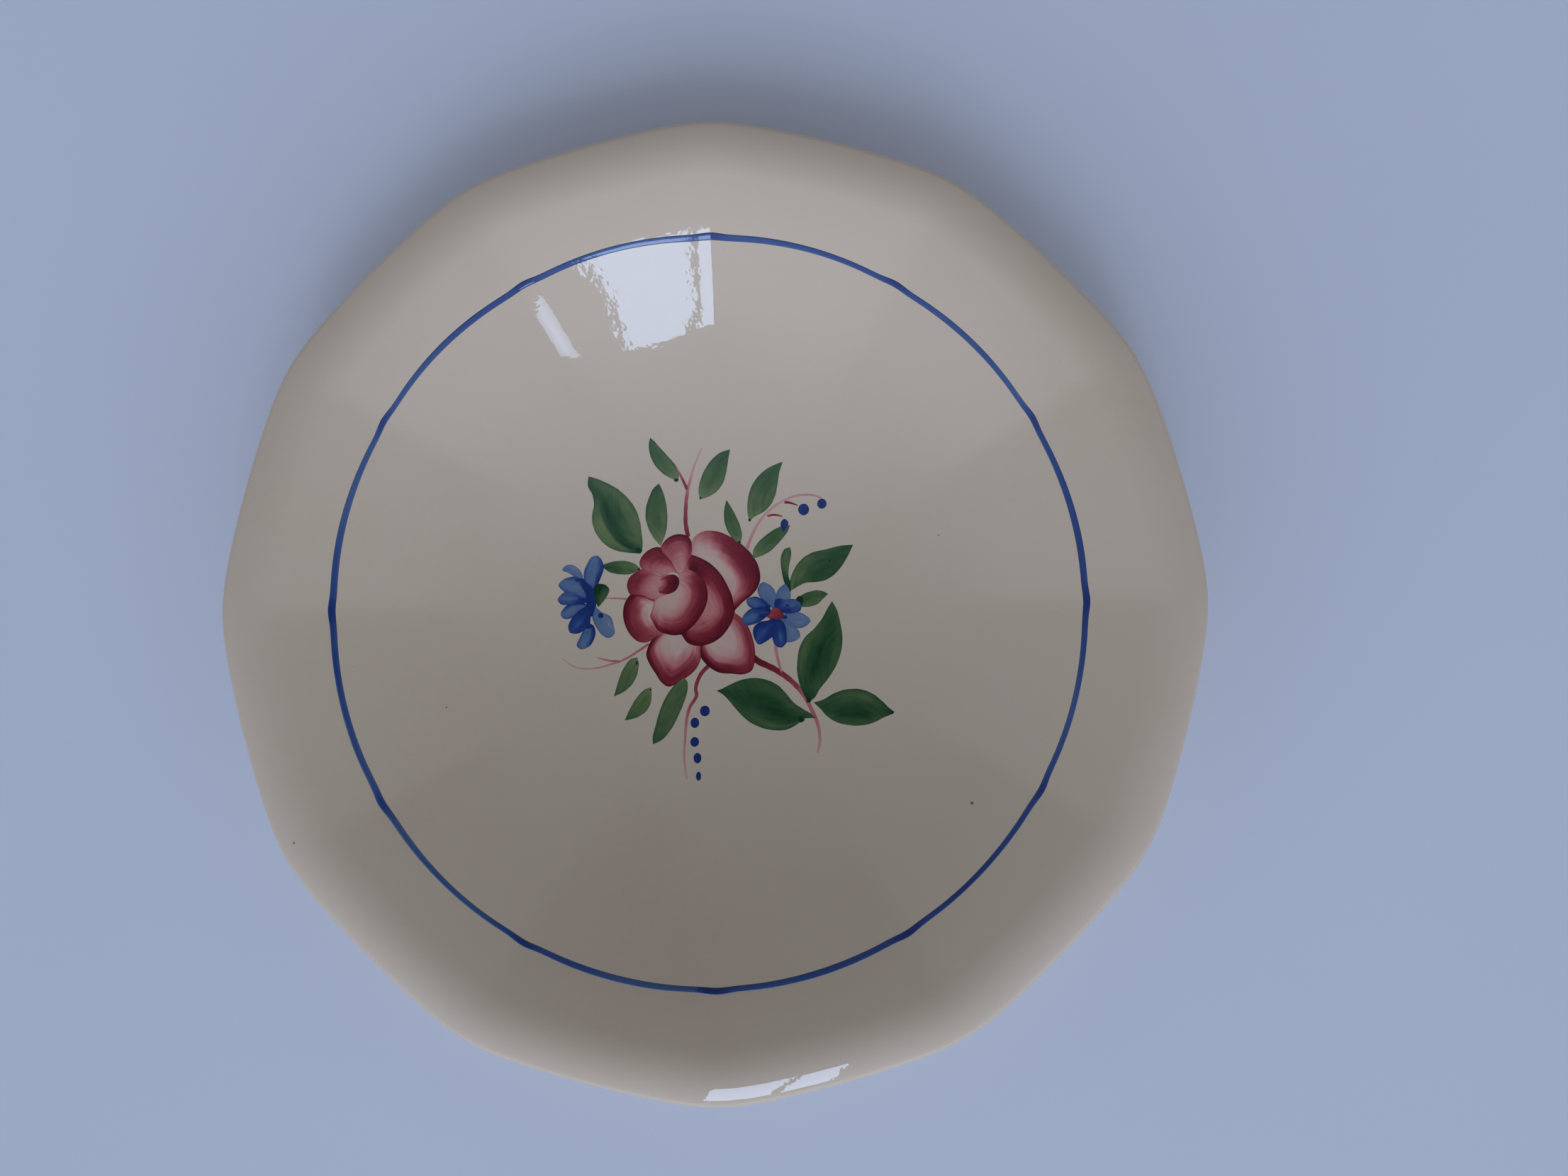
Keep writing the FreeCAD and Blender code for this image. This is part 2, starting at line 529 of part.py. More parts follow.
def visible_strokes():
    """Each node's strokes with the parts that later strokes cover cut away."""
    shown = {}
    above = []
    for name, faces in reversed(list(STROKES.items())):
        kept = []
        for face in reversed(faces):
            near = [other for other in above if other.BoundBox.intersect(face.BoundBox)]
            seen = face.cut(near) if near else face
            kept += [part for part in seen.Faces if part.Area > SMALLEST_STROKE_AREA]
            above.append(face)
        shown[name] = kept
    return shown


def make_strokes():
    shell = paint_shell()
    height = WELL_TOP + GLAZE
    made = {}
    for name, faces in visible_strokes().items():
        solids = []
        for face in faces:
            solids += face.extrude(Vector(0, 0, height)).common(shell).Solids
        made[name] = Part.makeCompound(solids)
    return made


def main():
    os.makedirs("parts", exist_ok=True)
    nodes = {
        "plate_body": make_body(),
        "glaze_face": make_face_glaze(),
        "glaze_back": make_back_glaze(),
        "glaze_foot_well": make_foot_well_glaze(),
        "blue_band": make_band(),
    }
    nodes.update(make_strokes())
    for name, shape in nodes.items():
        shape.exportStep("parts/%s.step" % name)
        print(name, len(shape.Solids), "solids", round(shape.Volume, 2), "mm3", shape.isValid())


main()
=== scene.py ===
"""Looks for a hand-painted, twelve-sided hollow dish: glossy cream glaze, a brushed bouquet, a blue line.

Everything is in metres in the dish's own frame: +Z up from the plane the foot ring stands on, +Y to
the top of the bouquet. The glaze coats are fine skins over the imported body. Each painted stroke is
a very thin closed film draped over the well, and carries how thickly the brush left its colour.
"""

import math

import bpy
import numpy as np
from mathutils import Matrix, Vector


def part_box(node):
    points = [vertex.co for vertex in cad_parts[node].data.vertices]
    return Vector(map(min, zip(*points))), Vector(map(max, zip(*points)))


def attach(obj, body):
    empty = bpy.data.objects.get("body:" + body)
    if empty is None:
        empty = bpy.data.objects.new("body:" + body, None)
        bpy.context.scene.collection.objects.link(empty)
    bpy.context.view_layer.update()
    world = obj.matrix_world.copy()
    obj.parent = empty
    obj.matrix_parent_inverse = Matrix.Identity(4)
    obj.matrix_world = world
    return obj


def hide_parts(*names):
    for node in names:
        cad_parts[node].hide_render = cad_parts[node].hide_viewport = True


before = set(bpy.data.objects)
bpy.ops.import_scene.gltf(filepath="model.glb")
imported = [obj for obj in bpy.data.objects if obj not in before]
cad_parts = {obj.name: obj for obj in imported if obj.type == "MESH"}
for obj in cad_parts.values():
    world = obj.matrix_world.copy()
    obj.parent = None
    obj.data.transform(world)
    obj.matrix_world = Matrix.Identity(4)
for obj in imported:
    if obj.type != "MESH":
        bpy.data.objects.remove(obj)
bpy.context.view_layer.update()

MM = 0.001

# The dish's section
WALL_FOOT_RADIUS = 92.4 * MM
WALL_SLOPE = math.radians(28.0)
WALL_TOP_RADIUS = 110.0 * MM
LIP_SLOPE = math.radians(22.5)
LIP_RADIUS = 21.5 * MM
CREST_RADIUS = 130.8 * MM
RIM_RADIUS = 138.7 * MM
THICKNESS = 5.0 * MM
GLAZE = 0.5 * MM
FOOT_OUTER_RADIUS = 58.0 * MM
FOOT_INNER_RADIUS = 51.0 * MM
FOOT_DRAFT = 1.5 * MM
BARE_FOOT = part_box("glaze_foot_well")[0].z     # the glaze stops here, above where the ring stands
WELL_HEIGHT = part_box("glaze_face")[0].z + GLAZE

SIDES = 12
SECTOR = 2 * math.pi / SIDES
WALL_FOLD = 0.46
RIM_FOLD = 0.59
WALL_SOFTNESS = math.radians(1.1)
RIM_SOFTNESS = math.radians(3.3)
FOLD_TERMS = 12
FOLD_START_RADIUS = 61.0 * MM
FOLD_FULL_RADIUS = 88.0 * MM

WELL_RADIUS = WALL_FOOT_RADIUS / math.sin(WALL_SLOPE)
WELL_TOP = WELL_HEIGHT + WELL_RADIUS * (1 - math.cos(WALL_SLOPE))
WALL_TOP = WELL_TOP + (WALL_TOP_RADIUS - WALL_FOOT_RADIUS) * math.tan(WALL_SLOPE)
LIP_START_RADIUS = CREST_RADIUS - LIP_RADIUS * math.sin(LIP_SLOPE)
EASE_RADIUS = (LIP_START_RADIUS - WALL_TOP_RADIUS) / (math.sin(WALL_SLOPE) - math.sin(LIP_SLOPE))
LIP_START = WALL_TOP + EASE_RADIUS * (math.cos(LIP_SLOPE) - math.cos(WALL_SLOPE))
MID_LIP_RADIUS = LIP_RADIUS - THICKNESS / 2
LIP_END = math.asin((RIM_RADIUS - CREST_RADIUS - THICKNESS / 2) / MID_LIP_RADIUS)
WELL_CENTRE = (0.0, WELL_HEIGHT + WELL_RADIUS)
EASE_CENTRE = (WALL_TOP_RADIUS + EASE_RADIUS * math.sin(WALL_SLOPE),
               WALL_TOP - EASE_RADIUS * math.cos(WALL_SLOPE))
LIP_CENTRE = (CREST_RADIUS, LIP_START - LIP_RADIUS * math.cos(LIP_SLOPE))
RIM_CENTRE = (RIM_RADIUS - THICKNESS / 2, LIP_CENTRE[1] + MID_LIP_RADIUS * math.cos(LIP_END))

# How fine the skins are
SIDE_STEPS = 40             # points of a contour per side
CREASE_CROWDING = 0.55      # 0 spaces them evenly, towards 1 crowds them at the creases
WELL_STEPS = 20
HAUNCH_STEPS = 12
WALL_STEPS = 5
EASE_STEPS = 5
LIP_STEPS = 18
RIM_STEPS = 8
FOOT_STEPS = 10
BAND_STEPS = 6

# Paint
FILM_LIFT = 0.03 * MM       # how far a single coat of colour stands above the glaze
FILM_STEP = 0.01 * MM       # each coat over another adds this
FILM_SINK = 0.004 * MM      # a film's edge lies this far under the glaze
FILM_UNDER = 0.06 * MM      # and its underside this far
FILM_ROUNDING = 0.2 * MM    # how far in from its edge a film reaches its height
BRUSH_GRID = 0.45 * MM      # the most that a film's points are apart
CURVE_FINENESS = 24         # points per given point when a curve is first drawn
DAB_POINTS = 9
BRUSH_SHIFT = 37.0 * MM     # between the brush marks of one stroke and the next
MERGES_PER_METRE = 1e7      # rim points less than a tenth of a micron apart are one
POOLED = 0.16               # how much more colour settles at the rim of a strong wash
POOL_WIDTH = 0.45 * MM
PETAL_FULLNESS = 1.13       # how much wider than its outline a blue flower's stroke is drawn
STEM_FULLNESS = 1.28
# Which coat, counted up from the glaze, each painting starts as
STEM_LAYER, LEAF_LAYER, ROSE_LAYER, DOT_LAYER, PETAL_LAYER, HEART_LAYER = 0, 2, 4, 6, 12, 24

# The blue line
BAND_RADIUS, BAND_WIDTH = 108.4 * MM, 1.6 * MM
BAND_SHIFT = (-1.7 * MM, -0.4 * MM)     # how far off centre the line was turned
BAND_START = math.radians(-93.0)        # where the brush was set down
CREASE_BULGE = 0.45 * MM                # how far the line stands out where it runs over a crease
BULGE_SPREAD = math.radians(2.0)


# ---------------- shape of the dish

def on_circle(centre, radius, lean):
    """Points of a circle whose direction from the centre leans this far from straight up."""
    return np.stack([centre[0] + radius * np.sin(lean), centre[1] + radius * np.cos(lean)], axis=-1)


def arc(centre, radius, start, end, steps):
    return on_circle(centre, radius, np.linspace(start, end, steps + 1))


def well_arc(inner, outer, depth, steps):
    """Section points of the well between two radii, this deep under the glazed face."""
    radii = np.linspace(inner, outer, steps + 1)
    return on_circle(WELL_CENTRE, WELL_RADIUS + depth, math.pi - np.arcsin(radii / (WELL_RADIUS + depth)))


def joined(*runs):
    """One run of section points from several that follow on from each other."""
    return np.concatenate([runs[0]] + [run[1:] for run in runs[1:]])


def face_section(inner, depth):
    """From a radius in the well to the end of the lip's arc, this deep under the face."""
    foot = (WELL_RADIUS + depth) * math.sin(WALL_SLOPE)
    steps = max(2, round(WELL_STEPS * (FOLD_START_RADIUS - inner) / FOLD_START_RADIUS))
    well = well_arc(inner, FOLD_START_RADIUS, depth, steps)
    haunch = well_arc(FOLD_START_RADIUS, foot, depth, HAUNCH_STEPS)
    ease = arc(EASE_CENTRE, EASE_RADIUS - depth, -WALL_SLOPE, -LIP_SLOPE, EASE_STEPS)
    wall = np.linspace(haunch[-1], ease[0], WALL_STEPS + 1)
    lip = arc(LIP_CENTRE, LIP_RADIUS - depth, -LIP_SLOPE, LIP_END, LIP_STEPS)
    return joined(well, haunch, wall, ease, lip)


def fold(angle, radius):
    """How far the twelve-sided contour stands out, as a share of its radius."""
    rim_share = np.maximum(radius - LIP_START_RADIUS, 0) / (RIM_RADIUS - LIP_START_RADIUS)
    softness = WALL_SOFTNESS + (RIM_SOFTNESS - WALL_SOFTNESS) * rim_share
    strength = WALL_FOLD + (RIM_FOLD - WALL_FOLD) * rim_share
    total = 0.0
    for term in range(1, FOLD_TERMS + 1):
        wave = SIDES * term
        reach = 0.5 * (SECTOR / (math.pi * term)) ** 2
        total = total + reach * np.exp(-((wave * softness) ** 2) / 2) * np.cos(wave * angle)
    return strength * total


def fold_share(radius):
    return ease(np.clip((radius - FOLD_START_RADIUS) / (FOLD_FULL_RADIUS - FOLD_START_RADIUS), 0, 1))


def ease(share):
    return share * share * (3 - 2 * share)


def warp(x, y):
    """The slight unevenness that drying and firing leave, as a height to add; sag is in mm."""
    radius, angle = np.hypot(x, y), np.arctan2(y, x)
    reach = (radius / RIM_RADIUS) ** 2
    sag = 0.11 * np.sin(2 * angle + 0.6) + 0.06 * np.sin(3 * angle + 2.1) + 0.03 * np.sin(7 * angle)
    return MM * reach * sag


def angles_round():
    """Angles once round the dish, crowded together at the creases."""
    turn = 2 * math.pi * np.arange(SIDES * SIDE_STEPS) / SIDE_STEPS
    return (turn - CREASE_CROWDING * np.sin(turn)) / SIDES


def round_the_dish(section):
    """Rings of points, one for each point of a section, folded into twelve soft sides."""
    angle = angles_round()[None, :]
    radius, height = section[:, :1], section[:, 1:]
    reach = radius * (1 + fold_share(radius) * fold(angle, radius))
    x, y = reach * np.cos(angle), reach * np.sin(angle)
    return np.stack([x, y, height + warp(x, y)], axis=-1)


def well_surface(x, y, lift):
    """Points on the round well above (x, y), this far off the glaze."""
    radius = np.hypot(x, y)
    drop = np.sqrt(WELL_RADIUS**2 - radius**2)
    z = WELL_CENTRE[1] - drop + warp(x, y)
    inward = lift / WELL_RADIUS
    return np.stack([x * (1 - inward), y * (1 - inward), z + lift * drop / WELL_RADIUS], axis=-1)


# ---------------- meshes

def new_object(name, points, faces):
    mesh = bpy.data.meshes.new(name)
    mesh.from_pydata(points.reshape(-1, 3).tolist(), [], faces)
    mesh.validate()
    mesh.update()
    obj = bpy.data.objects.new(name, mesh)
    bpy.context.scene.collection.objects.link(obj)
    mesh.polygons.foreach_set("use_smooth", np.ones(len(mesh.polygons), bool))
    return obj


def grid_faces(first, rows, columns, close_rows=False, close_columns=False):
    """Quads over a grid of point numbers that starts at first, facing up where rows run outwards."""
    faces = []
    for i in range(rows if close_rows else rows - 1):
        for j in range(columns if close_columns else columns - 1):
            i2, j2 = (i + 1) % rows, (j + 1) % columns
            faces.append((first + i2 * columns + j, first + i2 * columns + j2,
                          first + i * columns + j2, first + i * columns + j))
    return faces


def make_domed_skin(name, section):
    """A closed coat whose section starts and ends on the dish's axis."""
    rings = round_the_dish(section[1:-1])
    rows, columns = rings.shape[:2]
    ends = np.array([(0.0, 0.0, section[end][1]) for end in (0, -1)])
    points = np.concatenate([rings.reshape(-1, 3), ends])
    faces = grid_faces(0, rows, columns, close_columns=True)
    last = (rows - 1) * columns
    for j in range(columns):
        j2 = (j + 1) % columns
        faces.append((rows * columns, j, j2))
        faces.append((rows * columns + 1, last + j2, last + j))
    return new_object(name, points, faces)


def make_ring_skin(name, section):
    """A closed coat whose section is a loop away from the axis."""
    rings = round_the_dish(section)
    rows, columns = rings.shape[:2]
    return new_object(name, rings, grid_faces(0, rows, columns, close_rows=True, close_columns=True))


def keep_piece(obj, node, material):
    obj.data.materials.append(material)
    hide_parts(node)
    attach(obj, "root")


# ---------------- brush strokes

def curve(points, count):
    """Evenly spaced points of a smooth curve through the given ones (in mm)."""
    given = np.array(points, float) * MM
    at = np.concatenate([[0.0], np.cumsum(np.linalg.norm(np.diff(given, axis=0), axis=1))])
    straight = np.repeat(np.diff(given, axis=0)[:1] / at[-1], 2, 0)
    slope = np.gradient(given, at, axis=0) if len(given) > 2 else straight
    fine = np.linspace(0, at[-1], CURVE_FINENESS * len(given))
    k = np.clip(np.searchsorted(at, fine, side="right") - 1, 0, len(at) - 2)
    span = (at[k + 1] - at[k])[:, None]
    t = (fine - at[k])[:, None] / span
    path = ((2 * t**3 - 3 * t**2 + 1) * given[k] + (t**3 - 2 * t**2 + t) * span * slope[k]
            + (3 * t**2 - 2 * t**3) * given[k + 1] + (t**3 - t**2) * span * slope[k + 1])
    run = np.concatenate([[0.0], np.cumsum(np.linalg.norm(np.diff(path, axis=0), axis=1))])
    even = np.linspace(0, run[-1], count)
    return np.stack([np.interp(even, run, path[:, 0]), np.interp(even, run, path[:, 1])], axis=-1)


def length_of(points):
    return float(np.sum(np.linalg.norm(np.diff(np.array(points, float), axis=0), axis=1))) * MM


def steps_for(length):
    return max(5, math.ceil(length / BRUSH_GRID))


def sweep(edge, far_edge, wash):
    """A stroke between a rim and a far edge; wash is keyed by the distance from the rim in mm."""
    count = steps_for(length_of(edge))
    return curve(edge, count), curve(far_edge, count), wash, True


def leaf(base, left, tip, right, wash):
    """A stroke pointed at both ends; wash is keyed by the share of the way from left to right."""
    left_side, right_side = [base] + left + [tip], [base] + right + [tip]
    count = steps_for(length_of(left_side))
    return curve(left_side, count), curve(right_side, count), wash, False


def petal(base, edge, wash):
    """A stroke with a point at its base and a round end, from its outline round the end."""
    loop = [base] + edge + [base]
    half = steps_for(length_of(loop) / 2)
    path = curve(loop, 2 * half - 1)
    return path[:half], path[:half - 2:-1], wash, False


def fuller(stroke):
    """The same stroke with a broader brush."""
    edge, far_edge, wash, by_distance = stroke
    middle = (edge + far_edge) / 2
    return (middle + (edge - middle) * PETAL_FULLNESS, middle + (far_edge - middle) * PETAL_FULLNESS,
            wash, by_distance)


def dab(x, y, half_width, half_height, wash):
    turn = np.linspace(-math.pi / 2, math.pi / 2, DAB_POINTS)
    right = [(x + half_width * math.cos(a), y + half_height * math.sin(a)) for a in turn]
    left = [(2 * x - px, py) for px, py in right]
    count = steps_for(length_of(left))
    return curve(left, count), curve(right, count), wash, False


def stem(points, start_width, end_width, strengths):
    """A thin tapering line; its strengths, in percent, run from start to end."""
    centre = curve(points, steps_for(length_of(points)))
    way = np.gradient(centre, axis=0)
    way /= np.linalg.norm(way, axis=1, keepdims=True)
    half = np.linspace(start_width, end_width, len(centre))[:, None] * STEM_FULLNESS * MM / 2
    side = np.stack([-way[:, 1], way[:, 0]], axis=-1) * half
    edge = [0.9 * strength for strength in strengths]
    return centre + side, centre - side, {0: edge, 0.5: strengths, 1: edge}, False


def spot(rim, middle):
    """The wash of a dab that is as strong all round its rim."""
    return {0: [rim], 0.5: [middle], 1: [rim]}


def eased_lookup(at, keys):
    """Which two keys each value lies between, and how far along, easing in and out of each key."""
    k = np.clip(np.searchsorted(keys, at, side="right") - 1, 0, len(keys) - 2)
    share = ease(np.clip((at - keys[k]) / (keys[k + 1] - keys[k]), 0, 1))
    return k, share


def wash_over(wash, along, across):
    """How thickly the colour lies at each grid point, from a small table of strengths in percent."""
    rows = []
    for strengths in wash.values():
        table = np.array(strengths * 2 if len(strengths) == 1 else strengths, float) / 100
        j, part = eased_lookup(along, np.linspace(0, 1, len(table)))
        rows.append(table[j] * (1 - part) + table[j + 1] * part)
    k, share = eased_lookup(across, np.array(list(wash), float))
    rows, column = np.array(rows), np.arange(len(along))[:, None]
    return rows[k, column] * (1 - share) + rows[k + 1, column] * share


def stroke_grid(stroke, seed):
    """Grid points, their distance to the film's edge, their wash and the brush's own coordinates."""
    edge, far_edge, wash, by_distance = stroke
    width = np.linalg.norm(far_edge - edge, axis=1)
    columns = max(5, math.ceil(width.max() / BRUSH_GRID))
    share = np.linspace(0, 1, columns)
    grid = edge[:, None, :] + (far_edge - edge)[:, None, :] * share[None, :, None]
    across = width[:, None] * share[None, :]
    middle = (edge + far_edge) / 2
    run = np.concatenate([[0.0], np.cumsum(np.linalg.norm(np.diff(middle, axis=0), axis=1))])
    along = run[:, None] + 0 * across
    to_edge = np.minimum(across, width[:, None] - across)
    to_edge = np.minimum(to_edge, np.minimum(along, run[-1] - along))
    keyed = across / MM if by_distance else np.broadcast_to(share[None, :], across.shape)
    density = wash_over(wash, run / run[-1], keyed)
    density = density + POOLED * density**2 * np.exp(-((to_edge / POOL_WIDTH) ** 2))
    brush = np.stack([along, across, np.full_like(across, seed * BRUSH_SHIFT)], axis=-1) / MM
    return grid, to_edge, density, brush


def film_offsets(to_edge, height):
    """How far a film's top and its underside stand off the glaze, by the distance to its edge."""
    rounded = 1 - np.exp(-to_edge / FILM_ROUNDING)
    return -FILM_SINK + (height + FILM_SINK) * rounded, -FILM_SINK - (FILM_UNDER - FILM_SINK) * rounded


def store_paint(mesh, wash, brush):
    """Stores at each point how thickly the colour lies, and where it is along and across the stroke."""
    mesh.attributes.new("wash", "FLOAT", "POINT").data.foreach_set("value", np.ravel(wash).astype(np.float32))
    mesh.attributes.new("brush", "FLOAT_VECTOR", "POINT").data.foreach_set(
        "vector", np.ravel(brush).astype(np.float32))


def faces_up(grid):
    """Whether grid_faces over this flat grid face up, judged by its whole signed area."""
    diagonal, other = grid[:-1, 1:] - grid[1:, :-1], grid[:-1, :-1] - grid[1:, 1:]
    return float(np.sum(diagonal[..., 0] * other[..., 1] - diagonal[..., 1] * other[..., 0])) > 0


def make_film(name, strokes, first_layer):
    """One closed thin film per stroke, in one object."""
    points, faces, washes, brushes, rims = [], [], [], [], []
    for number, stroke in enumerate(strokes):
        grid, to_edge, density, brush = stroke_grid(stroke, number + len(name))
        rows, columns = density.shape
        first = len(points)
        for lift in film_offsets(to_edge, FILM_LIFT + FILM_STEP * (first_layer + number)):
            points.extend(well_surface(grid[..., 0], grid[..., 1], lift).reshape(-1, 3).tolist())
        quads = grid_faces(first, rows, columns)
        flat = quads if faces_up(grid) else [q[::-1] for q in quads]
        shift = rows * columns
        faces.extend(flat)
        faces.extend([tuple(v + shift for v in q[::-1]) for q in flat])
        washes.extend(list(density.ravel()) * 2)
        brushes.extend(brush.reshape(-1, 3).tolist() * 2)
        on_rim = np.zeros(density.shape, bool)
        on_rim[[0, -1], :] = True
        on_rim[:, [0, -1]] = True
        rims.extend(list(on_rim.ravel()) * 2)
    return film_object(name, points, faces, washes, brushes, rims)


def film_object(name, points, faces, washes, brushes, rims):
    """Builds the film, with points that lie on each other merged and a crisp rim."""
    keys, renumber, kept = {}, [], []
    for number, (point, rim) in enumerate(zip(points, rims)):
        key = tuple(round(c * MERGES_PER_METRE) for c in point) if rim else number
        if key not in keys:
            keys[key] = len(kept)
            kept.append(number)
        renumber.append(keys[key])
    clean = []
    for face in faces:
        corners = []
        for v in face:
            if renumber[v] not in corners:
                corners.append(renumber[v])
        if len(corners) > 2:
            clean.append(tuple(corners))
    obj = new_object(name, np.array([points[n] for n in kept]), clean)
    store_paint(obj.data, [washes[n] for n in kept], [brushes[n] for n in kept])
    rim = [rims[n] for n in kept]
    for edge in obj.data.edges:
        edge.use_edge_sharp = bool(rim[edge.vertices[0]] and rim[edge.vertices[1]])
    return obj


# ---------------- the bouquet, stroke by stroke
# Outlines are in millimetres from the middle of the dish. A wash is a small table of strengths,
# 0 for bare glaze to 100 for the darkest colour: one row for each distance in from the rim of a
# rose stroke, or each share of another stroke's width, and along each row from start to end.

